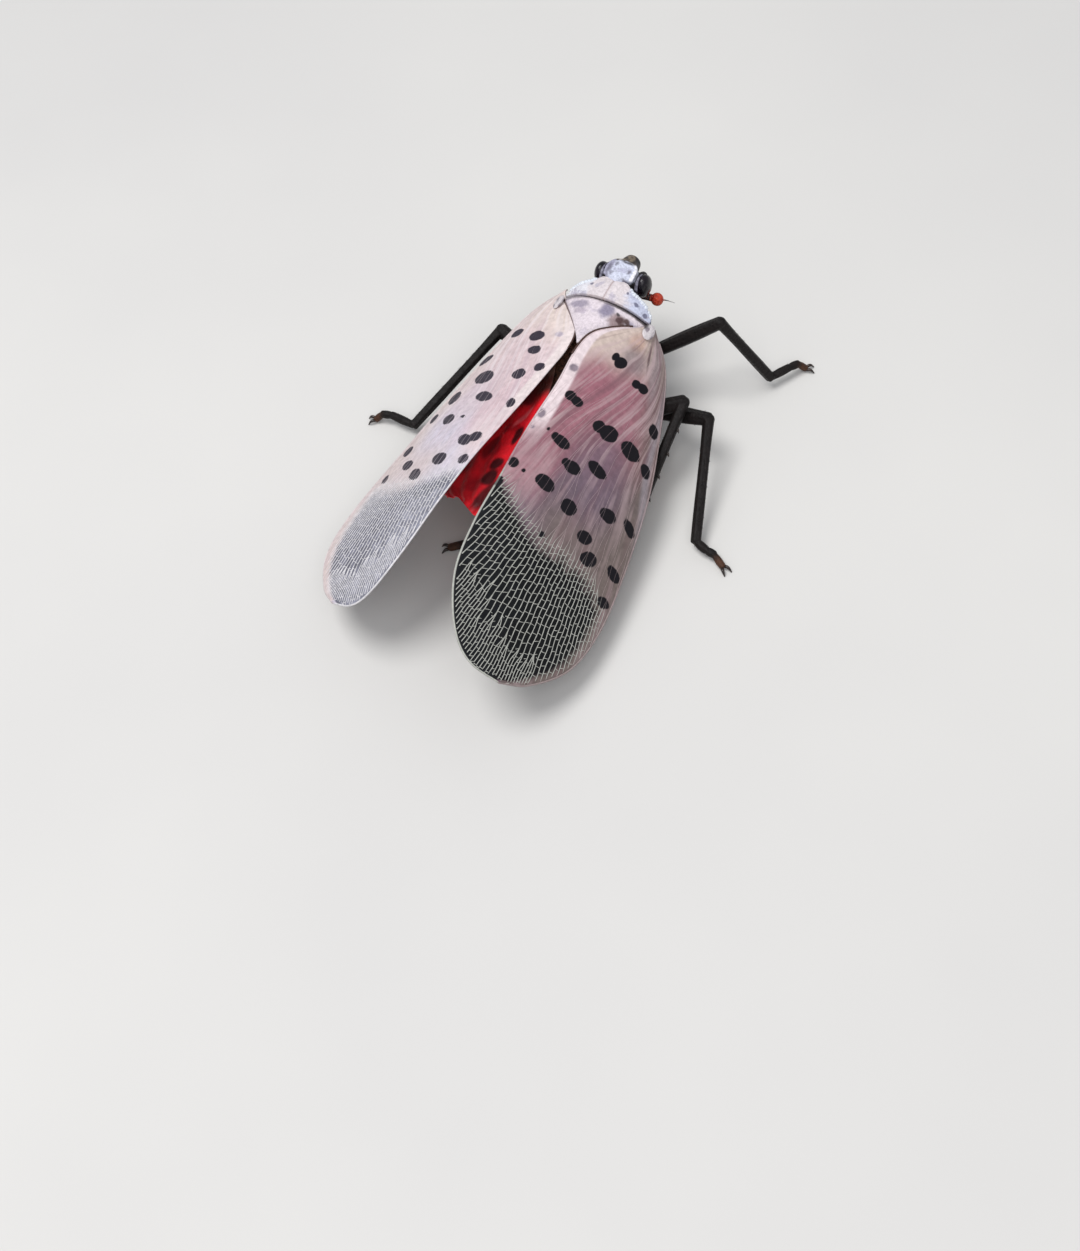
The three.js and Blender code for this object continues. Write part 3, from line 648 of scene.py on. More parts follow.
# The wax crumbs along the front rim, two thirds of them on the left.
CRUMBS = 90
rng = np.random.default_rng(15)
lumps = []
for _ in range(CRUMBS):
    rim_share = rng.uniform(0.42, 0.97) * rng.choice([-1, -1, 1])
    foot = collar_at(np.array(rim_share), np.array(rng.uniform(0.96, 1.01)))
    lumps.append(ball(foot, rng.uniform(0.05, 0.14, 3), sides=12, rings=8))
points, faces = merge(lumps)
fringe = add_piece("collar_fringe", on_body(points), faces)
store(fringe, "paint", np.tile(tone(220, 224, 232), (len(points), 1)))
wax_finish.wear(fringe)
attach(fringe, "root")


# Shield: the mesonotum, a bulging triangle between the wing bases with its point behind. Beside it at each
# wing's hinge lies a small scale, the tegula. Both are hard plates with the same wax bloom.
MESONOTUM_HALF_WIDTH = 2.6
MESONOTUM_FRONT = 2.95
TEGULA_CENTRES = {"right": (2.85, 2.45, -0.82), "left": (-2.68, 2.66, -1.12)}
TEGULA_RADII = (0.34, 0.46, 0.11)
TEGULA_SLOPE = math.radians(38)
# Marks on the shield: x, y, the two radii, colour and strength.
SHIELD_MARKS = [
    (-1.2, 2.5, 0.6, 0.22, tone(146, 136, 154), 0.85),
    (-0.9, 2.1, 0.4, 0.2, tone(172, 158, 172), 0.7),
    (0.45, 2.5, 0.36, 0.44, tone(128, 120, 144), 0.9),
    (1.15, 2.15, 0.4, 0.4, tone(134, 108, 108), 0.85),
    (1.9, 2.3, 0.36, 0.3, tone(156, 150, 174), 0.7),
    (1.04, 2.5, 0.12, 0.1, tone(50, 42, 44), 0.9),
    (1.28, 2.3, 0.2, 0.17, tone(72, 46, 46), 0.95),
    (1.58, 2.42, 0.18, 0.14, tone(74, 48, 46), 0.95),
    (1.7, 2.28, 0.13, 0.1, tone(80, 58, 56), 0.8),
    (1.42, 2.14, 0.12, 0.08, tone(90, 66, 62), 0.8),
]

along, share = np.meshgrid(np.linspace(0, 1, 110), np.linspace(-1, 1, 161), indexing="ij")
half = MESONOTUM_HALF_WIDTH * (0.02 + 0.98 * along) ** 1.2
height = -0.05 - 0.42 * half * np.abs(share) ** 2.4 - 0.1 * along**3
height -= 0.035 * np.exp(-(((np.abs(share) - 0.5) / 0.25) ** 2)) * np.sin(math.pi * along) ** 2
shield_top = np.stack([half * share, MESONOTUM_FRONT * along, height], -1)
shield = plate(on_body(shield_top), 0.5, "shield")
flat = np.vstack([shield_top.reshape(-1, 3)] * 2)
patch = ripple(flat, 1.1, 21) + 0.5 * ripple(flat, 0.35, 22)
wax = blend(tone(220, 208, 214), tone(186, 176, 190), ramp(patch, 0.3, 1.0) * 0.5)
for x, y, wide, long, colour, strength in SHIELD_MARKS:
    wax = blend(wax, colour, dab(flat + 0.07 * patch[:, None], (x, y), (wide, long), 0.4) * strength)
front_shadow = ramp(flat[:, 1] + 0.03 * patch, 2.8, 2.9) * (0.55 + 0.4 * ramp(flat[:, 0], 0.0, 1.0))
wax = blend(wax, tone(54, 44, 46), front_shadow)
# Painted shade along the shield's edges, where the wings lie over them.
rim = np.tile(np.maximum(np.abs(share), 1 - along / 0.08).ravel(), 2)
wax = blend(wax, tone(84, 58, 50), ramp(rim, 0.92, 0.97) * 0.85)
store(shield, "paint", wax)
wax_finish.wear(shield)
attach(shield, "root")
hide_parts("mesonotum")

for word, side in (("right", 1), ("left", -1)):
    centre = np.array(TEGULA_CENTRES[word])
    points, faces = ball((0, 0, 0), TEGULA_RADII, sides=48)
    c, s = math.cos(TEGULA_SLOPE), side * math.sin(TEGULA_SLOPE)
    sloped_x = points[:, 0] * c + points[:, 2] * s
    sloped_z = points[:, 2] * c - points[:, 0] * s
    points = np.stack([sloped_x, points[:, 1], sloped_z], -1) + centre
    scale = add_piece("tegula_scale_" + word, on_body(points), faces)
    wax = blend(tone(208, 200, 202), tone(140, 130, 138), ramp(ripple(points, 0.4, 31), 0.0, 0.8))
    shadow = dab(points, centre + [-0.3 * side, 0.2, 0], (0.22, 0.3, 0.5))
    wax = blend(wax, tone(48, 40, 42), shadow * (0.5 + 0.4 * side))
    store(scale, "paint", wax)
    wax_finish.wear(scale)
    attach(scale, "root")
    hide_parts("tegula_" + word)


# Legs: six thin black-brown legs of hard ribbed tubes, each with hip, thigh, shin and a jointed foot with
# two claws. Short stiff hairs stand along them, and the hind shins have a row of strong side spines.
# Hip to foot is one grown skin, and claws, spines and hairs are set on it.
# Places of each leg: root, hip, knee, ankle and the foot's joints.
LEGS = {
    "fore_right": [
        (1.0, 3.4, 3.0), (2.0, 3.25, 2.8), (5.75, 4.95, 5.3), (8.03, 6.05, 0.75),
        (8.64, 7.08, 0.72), (8.94, 7.6, 0.62), (9.3, 7.78, 0.12),
    ],
    "mid_right": [
        (1.2, 1.1, 2.5), (2.3, 0.6, 1.65), (7.08, 0.64, 2.88), (9.11, -5.2, 0.65),
        (9.78, -5.4, 0.52), (10.25, -5.43, 0.45), (10.9, -5.78, 0.12),
    ],
    "hind_right": [
        (1.0, -0.2, 2.6), (1.9, -0.8, 1.9), (5.7, 0.6, 3.67), (5.78, -6.25, 0.75),
        (5.72, -7.4, 0.4), (5.9, -8.7, 0.12),
    ],
    "fore_left": [
        (-1.0, 3.4, 3.2), (-2.15, 3.2, 3.4), (-5.2, -1.15, 2.94), (-5.0, 3.9, 0.65),
        (-5.1, 4.8, 0.45), (-5.2, 6.1, 0.12),
    ],
    "mid_left": [
        (-1.2, 1.1, 2.4), (-2.3, 0.6, 1.48), (-5.96, 1.6, 3.12), (-8.45, -4.58, 0.65),
        (-9.9, -4.48, 0.68), (-10.5, -4.58, 0.6), (-10.87, -4.78, 0.12),
    ],
    "hind_left": [
        (-1.0, -0.2, 2.6), (-1.9, -0.7, 2.0), (-4.8, -3.6, 2.8), (-0.8, -9.4, 0.7),
        (-1.6, -9.9, 0.45), (-2.65, -10.55, 0.12),
    ],
}
THIGH_RADII = {
    "fore": [0.32, 0.37, 0.38, 0.33],
    "mid": [0.34, 0.43, 0.44, 0.36],
    "hind": [0.34, 0.42, 0.44, 0.38],
}
SHIN_RADII = [0.31, 0.27, 0.27, 0.28, 0.27]
FOOT_RADII = [0.24, 0.23, 0.2]
HIND_SPINES = (0.19, 0.37, 0.54, 0.71)
SOLE_HEIGHT = 0.2
LEG_GRAIN = 0.035
HAIR_HALF_WIDTH = 0.018
# How many hairs stand on a thigh, a shin and a foot.
THIGH_HAIRS, SHIN_HAIRS, FOOT_HAIRS = 70, 110, 24


def hairs(start, end, radius, count, seed):
    """Short hairs all round a limb, leaning towards its far end."""
    rng = np.random.default_rng(seed)
    way = (end - start) / np.linalg.norm(end - start)
    side = np.cross(way, [0, 0, 1.0])
    side /= np.linalg.norm(side)
    up = np.cross(side, way)
    shapes = []
    for _ in range(count):
        turned = rng.uniform(0, 2 * math.pi)
        out = math.cos(turned) * side + math.sin(turned) * up
        foot = start + (end - start) * rng.uniform(0.06, 0.95) + out * radius * 0.9
        tip = foot + out * rng.uniform(0.05, 0.1) + way * rng.uniform(0.08, 0.16)
        edge = HAIR_HALF_WIDTH * side
        points = [foot + edge, foot - edge, foot + HAIR_HALF_WIDTH * way, tip]
        shapes.append((np.array(points), [(0, 1, 2), (0, 3, 1), (1, 3, 2), (2, 3, 0)]))
    return shapes


leg_finish = Finish("leg_shell", roughness=0.5, Specular_IOR_Level=0.22)
leg_finish.base(leg_finish.grained(3.5, 0.7, 1.6))
leg_finish.uneven(6, 0.38, 0.65)
leg_finish.bump(leg_finish.noise(9, 6), 0.07, 0.9)
claw_finish = Finish("claw", roughness=0.3)
claw_finish.base(claw_finish.two_tone(6, tone(24, 18, 16), tone(52, 36, 28)))
claw_finish.bump(claw_finish.noise(14), 0.01, 0.5)

for seed, (word, joints) in enumerate(LEGS.items()):
    root, hip, knee, ankle, *foot = [np.array(joint) for joint in joints]
    kind = word.split("_")[0]
    route = [ankle] + [np.array([p[0], p[1], max(p[2], SOLE_HEIGHT)]) for p in foot]
    thigh_route = [hip, (2 * hip + knee) / 3, (hip + 2 * knee) / 3, knee]
    shin_route = [knee, (2 * knee + ankle) / 3, (knee + 2 * ankle) / 3, ankle]
    shapes = [
        limb([root, (root + hip) / 2, hip], [0.56, 0.54, 0.48, 0.4], sides=24),
        limb(thigh_route, THIGH_RADII[kind], sides=40, ribs=0.06),
        ball(knee, (0.32, 0.32, 0.31), sides=24, rings=14),
        limb(shin_route, SHIN_RADII, sides=40, ribs=0.06),
    ]
    for start, end, radius in zip(route, route[1:], FOOT_RADII):
        foot_radii = [0.8 * radius, radius, 0.92 * radius]
        shapes.append(limb([start, (start + end) / 2, end], foot_radii, rings=14))
    points, faces = merge(shapes)
    points[:, 2] = np.maximum(points[:, 2], 0.02)
    leg = add_piece("leg_shell_" + word, points, faces)
    grow_together(leg, LEG_GRAIN, 3)
    to_toe = np.linalg.norm(places(leg) - route[-1], axis=1)
    brown_toe = (1 - ramp(to_toe, 0.2, 0.9)) * 0.8
    store(leg, "paint", blend(tone(17, 12, 11), tone(78, 50, 34), brown_toe))
    leg_finish.wear(leg)
    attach(leg, "root")
    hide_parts("coxa_" + word, "femur_" + word, "tibia_" + word, "tarsus_" + word)

    shapes = hairs(hip, knee, THIGH_RADII[kind][1], THIGH_HAIRS, seed)
    shapes += hairs(knee, ankle, SHIN_RADII[1], SHIN_HAIRS, seed + 20)
    shapes += hairs(route[0], route[1], 0.22, FOOT_HAIRS, seed + 40)
    if kind == "hind":
        way = (ankle - knee) / np.linalg.norm(ankle - knee)
        outward = np.array([np.sign(knee[0]), 0, 0]) - way * way[0] * np.sign(knee[0])
        outward /= np.linalg.norm(outward)
        for place in HIND_SPINES:
            base = knee + (ankle - knee) * place + 0.16 * outward
            spine_route = [base, base + 0.14 * outward + 0.1 * way, base + 0.24 * outward + 0.22 * way]
            shapes.append(limb(spine_route, [0.11, 0.07, 0.015], sides=12, rings=8))
    heading = route[-1] - route[-2]
    heading[2] = 0
    heading /= np.linalg.norm(heading)
    aside = np.array([-heading[1], heading[0], 0])
    for side in (-1, 1):
        base = route[-1] + 0.08 * side * aside
        bend = route[-1] + 0.26 * heading + 0.17 * side * aside + [0, 0, 0.05]
        tip = route[-1] + 0.46 * heading + 0.22 * side * aside
        tip[2] = 0.04
        shapes.append(limb([base, bend, tip], [0.09, 0.08, 0.025], sides=12, rings=12))
    points, faces = merge(shapes)
    points[:, 2] = np.maximum(points[:, 2], 0.004)
    fittings = add_piece("claws_and_hairs_" + word, points, faces)
    claw_finish.wear(fittings)
    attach(fittings, "root")


# Forewings: two long leathery sheets hinged under the scales and held like a half open roof. The membrane
# is pinkish with black spots over its first two thirds, with a dense net of pale veins over dark cells
# beyond. Each is lofted between its front and inner margins, and its veins are fine tubes laid in the sheet.
# Both margins go from the hinge to the tip, as millimetres along the wing and across it.
FRONT_MARGIN = [
    (0, 0), (2, -1.0), (5.05, -1.4), (9.1, -1.53), (13.15, -1.08),
    (16.7, -0.35), (19.2, 0.9), (20.7, 2.95), (21.1, 4.5),
]
INNER_BASE = {
    "left": [(0.45, 0.3), (1.2, 1.8), (2.1, 3.2), (3.3, 4.05)],
    "right": [(0.1, 0.75), (0.85, 2.4), (1.65, 3.45), (3.0, 4.1)],
}
INNER_MARGIN = [
    (5.05, 4.66), (8.1, 5.72), (11.1, 6.6), (13.65, 7.38),
    (16.2, 7.85), (18.2, 7.65), (19.8, 7.05), (20.7, 6.1), (21.1, 4.5),
]
WING_SPAN = 20
MEMBRANE = 0.09
SHEET_ROWS, SHEET_COLUMNS = 360, 140
# How far across the wing its sideways arc is level.
ARC_MIDDLE = 3


class Wing:
    """A wing's sheet on its two margins, posed about the hinge by angles in degrees and by its arches."""

    def __init__(self, front, inner, span, side, hinge, yaw, tilt, pitch, curl, sag, camber,
                 twist=0, tip_twist=0, pleat=0):
        self.front, self.inner = self.curve(front), self.curve(inner)
        self.length = front[-1][0]
        self.span, self.side, self.hinge, self.yaw, self.tilt = span, side, hinge, yaw, tilt
        self.pitch, self.twist, self.tip_twist, self.curl, self.sag = pitch, twist, tip_twist, curl, sag
        self.camber, self.pleat = camber, pleat

    def curve(self, points):
        dense = spread(points, 400)
        far = np.r_[0, np.cumsum(np.linalg.norm(np.diff(dense, axis=0), axis=1))]
        return dense, far / far[-1]

    def edge(self, margin, share):
        dense, far = margin
        return np.stack([np.interp(share, far, dense[:, k]) for k in (0, 1)], -1)

    def margin_at(self, margin, along):
        """How far across a margin is, at a distance along, up to where it turns back."""
        dense = margin[0][: np.argmax(margin[0][:, 0]) + 1]
        return np.interp(along, dense[:, 0], dense[:, 1])

    def share_at(self, along, across):
        low, high = self.margin_at(self.front, along), self.margin_at(self.inner, along)
        return (across - low) / np.maximum(high - low, 0.05)

    def lift(self, along, across):
        share = np.clip(self.share_at(along, across), 0, 1)
        far = along / self.length
        arch = self.camber * 4 * share * (1 - share) * np.sin(math.pi * np.minimum(0.15 + far, 1) * 0.9)
        return arch + self.pleat * np.sin(9 * math.pi * share) * np.minimum(1, far * 3)

    def place(self, along, across, above):
        """Points on the insect for places on the flat wing, so far above the middle of the sheet."""
        along, across = np.asarray(along, float), np.asarray(across, float)
        above = above + self.lift(along, across)
        share = along / self.span
        turned = np.radians(self.tilt + self.twist * (share - 0.4) + self.tip_twist * share**3)
        bend = math.radians(self.curl)
        start, here = turned + bend * ARC_MIDDLE, turned + bend * (ARC_MIDDLE - across)
        x = (np.sin(here) - np.sin(start)) / bend + above * np.sin(here)
        z = (np.cos(here) - np.cos(start)) / bend + above * np.cos(here) - self.sag * share**2
        c, s = math.cos(math.radians(self.pitch)), math.sin(math.radians(self.pitch))
        y, z = -along * c - z * s, -along * s + z * c
        c, s = math.cos(math.radians(self.yaw)), math.sin(math.radians(self.yaw))
        x, y = x * c - y * s, x * s + y * c
        return np.stack([self.side * x, y, z], -1) + np.array(self.hinge)

    def spot(self, x, y, long, wide, degrees):
        """A spot of the photo on the flat wing: along, across, two half axes and the first one's angle."""
        def seen(along, across):
            return in_photo(self.place(along, across, SEEN_HEIGHT))

        along, across = self.length / 2, ARC_MIDDLE
        for _ in range(12):
            lengthwise = seen(along + 0.1, across) - seen(along - 0.1, across)
            sideways = seen(along, across + 0.1) - seen(along, across - 0.1)
            to_wing = np.linalg.inv(np.stack([lengthwise, sideways], 1) / 0.2)
            along, across = np.array([along, across]) + to_wing @ ([x, y] - seen(along, across))
        c, s = math.cos(math.radians(degrees)), math.sin(math.radians(degrees))
        turned, halves, _ = np.linalg.svd(to_wing @ [[long * c, wide * s], [-long * s, wide * c]])
        return along, across, *halves, math.degrees(math.atan2(turned[1, 0], turned[0, 0]))

    def sheet(self, name, rows, columns, thickness):
        """The membrane as a closed sheet, with the place on the flat wing of each of its points."""
        step = np.linspace(0, 1, rows + 1)[:-1]
        far = 0.9 * np.sin(math.pi / 2 * step) + 0.1 * step
        start, end = self.edge(self.front, far), self.edge(self.inner, far)
        share = np.linspace(0, 1, columns)
        flat = start[:, None] * (1 - share[None, :, None]) + end[:, None] * share[None, :, None]
        rim = 1 - 0.6 * np.maximum(0, np.abs(2 * share - 1) - 0.97) / 0.03
        half = thickness / 2 * np.tile(rim, (rows, 1))
        top = self.place(flat[..., 0], flat[..., 1], half)
        under = self.place(flat[..., 0], flat[..., 1], -half)
        tip = self.edge(self.front, 1.0)
        ends = [self.place(tip[0], tip[1], 0.2 * thickness), self.place(tip[0], tip[1], -0.2 * thickness)]
        count = rows * columns
        faces = []
        for i in range(rows - 1):
            for j in range(columns - 1):
                a = i * columns + j
                faces.append((a, a + columns, a + columns + 1, a + 1))
                faces.append((count + a, count + a + 1, count + a + columns + 1, count + a + columns))
            for j in (0, columns - 1):
                a = i * columns + j
                faces.append((a, count + a, count + a + columns, a + columns))
        for j in range(columns - 1):
            last = (rows - 1) * columns + j
            faces.append((j, j + 1, count + j + 1, count + j))
            faces.append((last, 2 * count, last + 1))
            faces.append((count + last, count + last + 1, 2 * count + 1))
        for a in ((rows - 1) * columns, rows * columns - 1):
            faces.append((a, count + a, 2 * count + 1, 2 * count))
        piece = add_piece(name, np.vstack([top.reshape(-1, 3), under.reshape(-1, 3), ends]), faces)
        flat = np.vstack([flat.reshape(-1, 2)] * 2 + [tip, tip])
        return piece, flat[:, 0], flat[:, 1]

    def vein(self, along, across, width, height):
        """A vein as a flat diamond tube that stands out on both faces."""
        centre = self.place(along, across, 0)
        up = (self.place(along, across, 1) - centre) * height
        aside = np.cross(np.gradient(centre, axis=0), up)
        aside /= np.linalg.norm(aside, axis=1)[:, None]
        width = np.broadcast_to(width, along.shape)[:, None] / 2
        loops = [centre + aside * width, centre + up, centre - aside * width, centre - up]
        rings = len(along)
        faces = []
        for i in range(rings - 1):
            for j in range(4):
                a, b = 4 * i + j, 4 * i + (j + 1) % 4
                faces.append((a, b, b + 4, a + 4))
        faces += [(0, 3, 2, 1), (4 * rings - 4, 4 * rings - 3, 4 * rings - 2, 4 * rings - 1)]
        return np.stack(loops, 1).reshape(-1, 3), faces


FOREWING_POSES = {
    "right": dict(side=1, hinge=(2.89, 3.11, 5.33), yaw=15.6, tilt=34.9, pitch=10.7,
                  twist=8.6, curl=0.5, sag=0.53, camber=0.4),
    "left": dict(side=-1, hinge=(-2.79, 3.9, 5.3), yaw=16.6, tilt=34.9, pitch=11,
                 twist=39.8, tip_twist=-29.3, curl=0.3, sag=0.17, camber=0.25),
}
# Spots as read in the photo: the pixel of the middle, the two half axes in pixels, and the longer one's
# angle in degrees, upwards from the right. The wing works out where they are on its sheet.
SPOT_PIXELS = {
    "left": [
        (536.5, 335.5, 8, 4.5, 20), (534, 349.5, 7, 4, 15), (517, 333, 7, 2.5, 33),
        (539, 366.5, 6, 3.8, 22), (518.5, 373.5, 7.5, 4.3, 27), (484, 377, 10.5, 5, 27),
        (483.5, 396, 8.3, 4.8, 12), (486, 360, 9, 2, 38), (510.5, 402.5, 5.8, 3.6, 48),
        (454.5, 398, 9, 2.8, 45), (448.3, 419, 7, 3.6, 38), (434, 418.7, 6, 1.8, 47),
        (463, 416, 2.5, 1.3, 10), (464, 439.2, 7, 5.3, 20), (475, 436, 7, 4.2, 25),
        (438.9, 458.2, 8.2, 4.8, 35), (462.8, 458.5, 6.4, 3.7, 38), (408, 451.5, 7, 2.1, 47),
        (407.3, 465.2, 6.5, 3.5, 42), (414.5, 474, 7.2, 4.1, 46), (385, 479.3, 5.5, 1.7, 52),
    ],
    "right": [
        (620.7, 363, 6.8, 6, 0), (615.8, 356.8, 4.3, 3.3, 45), (636.3, 384.3, 5, 4.2, -45),
        (643, 388.8, 5.7, 4.7, -60), (570.9, 395.8, 6.2, 5, -30), (577, 401.3, 7, 4.8, -35),
        (561.5, 441.5, 10.5, 5.5, -40), (555.5, 436, 4, 4, 0), (548.3, 428.5, 1.8, 1.6, 0),
        (514, 461.7, 5.5, 5.2, 0), (523.7, 470.5, 2.3, 2.1, 0), (565.4, 461.5, 4, 3.8, 0),
        (572.5, 467.4, 9, 6.2, -40), (498.4, 480.7, 6, 4.3, 50), (545.3, 482.6, 11.5, 7, -42),
        (568.9, 507, 9.5, 7.3, -50), (599.5, 426.5, 7, 6, -30), (609, 433.5, 10, 8.3, -35),
        (630.5, 451.5, 12.5, 7.3, -55), (653.5, 432, 8, 4.3, -80), (597.5, 470, 12, 5.7, -48),
        (645.5, 471.5, 8, 4.5, -75), (608, 515.7, 9.7, 6.4, -45), (629, 528.4, 10.5, 4.3, -70),
        (542, 534, 3.2, 3, -60), (584.6, 537.5, 8.5, 6.4, -45), (588.4, 559.3, 8.8, 7.2, -30),
        (613.3, 574.6, 10, 5, -65), (603, 602.6, 7.5, 5, -50),
    ],
}
FAINT_SPOT_PIXELS = {
    "left": [
        (559, 334, 4.5, 2.5, 5), (482, 444, 3.5, 2.2, 50),
    ],
    "right": [
        (574, 367.5, 4.8, 4, -10), (541.7, 413, 5, 4, 60), (532.9, 426.5, 2.2, 2, 0),
    ],
}
# How far above the middle of the sheet the surface is that the photo shows.
SEEN_HEIGHT = 0.06
# The net begins along this line, given as the distance along the wing at places across it,
# and leaves a smooth strip so wide at the front margin.
NET_EDGE_ACROSS = (-0.3, 0.8, 2.5, 3.9, 5.0, 6.4, 8.0)
NET_EDGE = {
    "left": (15.6, 15.0, 14.6, 14.1, 13.3, 12.5, 12.0),
    "right": (16.4, 14.8, 14.1, 13.85, 13.05, 11.3, 10.2),
}
FRONT_STRIP = {"left": 0.9, "right": 0.5}
START_LANES = (0.05, 0.2, 0.35, 0.5, 0.65, 0.8, 0.93)
# The fan of veins widens as if the wing had these straighter margins.
FAN_FRONT = np.array([(0, 0), (2, -1.0), (5, -1.45), (9, -1.6), (13, -1.4), (17, -1.0), (22, -0.6)])
FAN_INNER = np.array([
    (0.3, 0.9), (2.4, 4.0), (5, 5.0), (8, 6.1),
    (11, 6.9), (13.6, 7.5), (16.2, 7.9), (22, 8.2),
])
# Veins start at the first distance along, are looked at again after each step, and fork when they are
# further apart than the gap, which is wider outside the net and closer at the tip.
VEIN_START, VEIN_STEP = 0.9, 0.08
NET_GAP, TIP_GAP, MORE_GAP_OUTSIDE = 0.34, 0.3, 0.38
VEIN_WIDTH, NET_VEIN_WIDTH, CROSS_WIDTH, RIM_WIDTH, SHADE_LINE_WIDTH = 0.08, 0.11, 0.09, 0.13, 0.15


def across_of_lane(lane, along):
    """Where the vein of a lane, 0 to 1 from the front, runs at a distance along the wing.
    The lanes start together at the hinge's front, and splay again in the net towards the inner margin."""
    low, high = np.interp(along, *FAN_FRONT.T), np.interp(along, *FAN_INNER.T)
    share = lane ** (1 + 3.6 * np.exp(-((along / 4.3) ** 2)))
    splay = 1.3 * (along / WING_SPAN) ** 2.6
    return low + share * (1 + splay * lane**1.2) * (high - low)


def lane_of_place(along, across):
    """The lane that runs through a place on the wing, closed in on by halves."""
    low, high = np.zeros(len(along)), np.full(len(along), 1.2)
    for _ in range(24):
        middle = (low + high) / 2
        beyond = across_of_lane(middle, along) > across
        low, high = np.where(beyond, low, middle), np.where(beyond, middle, high)
    return (low + high) / 2


def past_edge(wing, word, along, across):
    """How far a place is inside the net, in millimetres, and below nought outside it."""
    into_net = along - np.interp(across, NET_EDGE_ACROSS, NET_EDGE[word])
    from_strip = across - wing.margin_at(wing.front, along) - FRONT_STRIP[word]
    return np.minimum(into_net, 2 * from_strip)


def to_nearest(spots, along, across):
    """How far a place is from the rim of the nearest spot, below nought inside one."""
    nearest = np.full(len(along), 9.0)
    for spot_along, spot_across, long, wide, degrees in spots:
        c, s = math.cos(math.radians(degrees)), math.sin(math.radians(degrees))
        x, y = along - spot_along, across - spot_across
        reach = np.hypot((x * c + y * s) / long, (y * c - x * s) / wide)
        nearest = np.minimum(nearest, (reach - 1) * min(long, wide))
    return nearest


def grow_veins(wing, word, rng):
    """Veins start at the hinge, and wherever two drift too far apart a new one forks off between them.
    In the net, cross veins step from one to the next, out of line with their neighbours."""
    active = [dict(lane=lane, start=VEIN_START, parent=lane, reach=1.0) for lane in START_LANES]
    ended, crosses, due = [], [], {}
    for along in np.arange(1.0, wing.length, VEIN_STEP):
        inside = []
        for line in active:
            here = wing.share_at(along, across_of_lane(line["lane"], along))
            if here < 0.985 and (here > 0.01 or along < 15):
                inside.append(line)
            else:
                line["end"] = along
                ended.append(line)
        active = inside[:1]
        for a, b in zip(inside, inside[1:]):
            start, end = across_of_lane(a["lane"], along), across_of_lane(b["lane"], along)
            middle = (start + end) / 2
            depth = past_edge(wing, word, along, middle)
            remote = ramp(-depth, 0.8, 4.0)
            limit = (TIP_GAP if along > 19 else NET_GAP) + MORE_GAP_OUTSIDE * remote
            settled = along - max(a["start"], b["start"]) > 0.4 + 1.2 * remote
            if end - start > limit * rng.uniform(0.9, 1.15) and settled:
                parent = (a, b)[rng.integers(2)]["lane"]
                lane = (a["lane"] + b["lane"]) / 2
                active.append(dict(lane=lane, start=along, parent=parent, reach=0.9 + 1.7 * remote))
            elif depth > rng.uniform(-0.9, -0.1):
                key = (a["lane"], b["lane"])
                due.setdefault(key, along + rng.uniform(0, 0.35))
                if along >= due[key]:
                    crosses.append((*key, along, rng.uniform(-0.05, 0.05)))
                    due[key] = along + rng.uniform(0.28, 0.42) + 0.2 * rng.uniform() * ramp(depth, 0.3, 1.5)
            active.append(b)
    for line in active:
        line["end"] = wing.length
    return ended + active, crosses


def vein_shapes(wing, word):
    """The wing's veins as tubes, with the place on the flat wing of each of their points."""
    rng = np.random.default_rng(51)
    lines, crosses = grow_veins(wing, word, rng)
    shapes, along_all, across_all = [], [], []

    def add(along, across, width, height):
        shapes.append(wing.vein(along, across, width, height))
        along_all.append(np.repeat(along, 4))
        across_all.append(np.repeat(across, 4))

    for line in lines:
        along = np.arange(line["start"], line["end"] + 0.05, 0.15)
        forked = ramp(along - line["start"], 0, line["reach"])
        lane = line["parent"] + (line["lane"] - line["parent"]) * forked
        across = across_of_lane(lane, along) + 0.02 * np.sin(along * 4 + 40 * line["lane"])
        share = wing.share_at(along, across)
        keep = (share > 0.003) & (share < 0.997)
        if keep.sum() < 3:
            continue
        along, across = along[keep], across[keep]
        in_net = ramp(past_edge(wing, word, along, across), -1.4, -0.2)
        width = VEIN_WIDTH + (NET_VEIN_WIDTH - VEIN_WIDTH) * in_net
        risen = 0.028 * ramp(along, 2, 6) - 0.01 * (1 - in_net)
        add(along, across, width, MEMBRANE / 2 + risen[:, None])
    for a, b, along, slant in crosses:
        start, end = across_of_lane(a, along - slant), across_of_lane(b, along + slant)
        if wing.share_at(along, end) < 0.99:
            stops = np.array([along - slant, along, along + slant])
            add(stops, np.array([start, (start + end) / 2, end]), CROSS_WIDTH, MEMBRANE / 2 + 0.02)
    for margin in (wing.front, wing.inner):
        rim = wing.edge(margin, np.linspace(0.03, 1, 160))
        add(rim[:, 0], rim[:, 1], RIM_WIDTH, MEMBRANE / 2 + 0.012)
    # A thin dark brown tube just outside the inner margin at the hinge: painted shade along the wing's base.
    shade_line = wing.edge(wing.inner, np.linspace(0.02, 0.19, 60))
    add(shade_line[:, 0] - 0.03, shade_line[:, 1] + 0.06, SHADE_LINE_WIDTH, MEMBRANE / 2)
    return shapes, np.concatenate(along_all), np.concatenate(across_all)
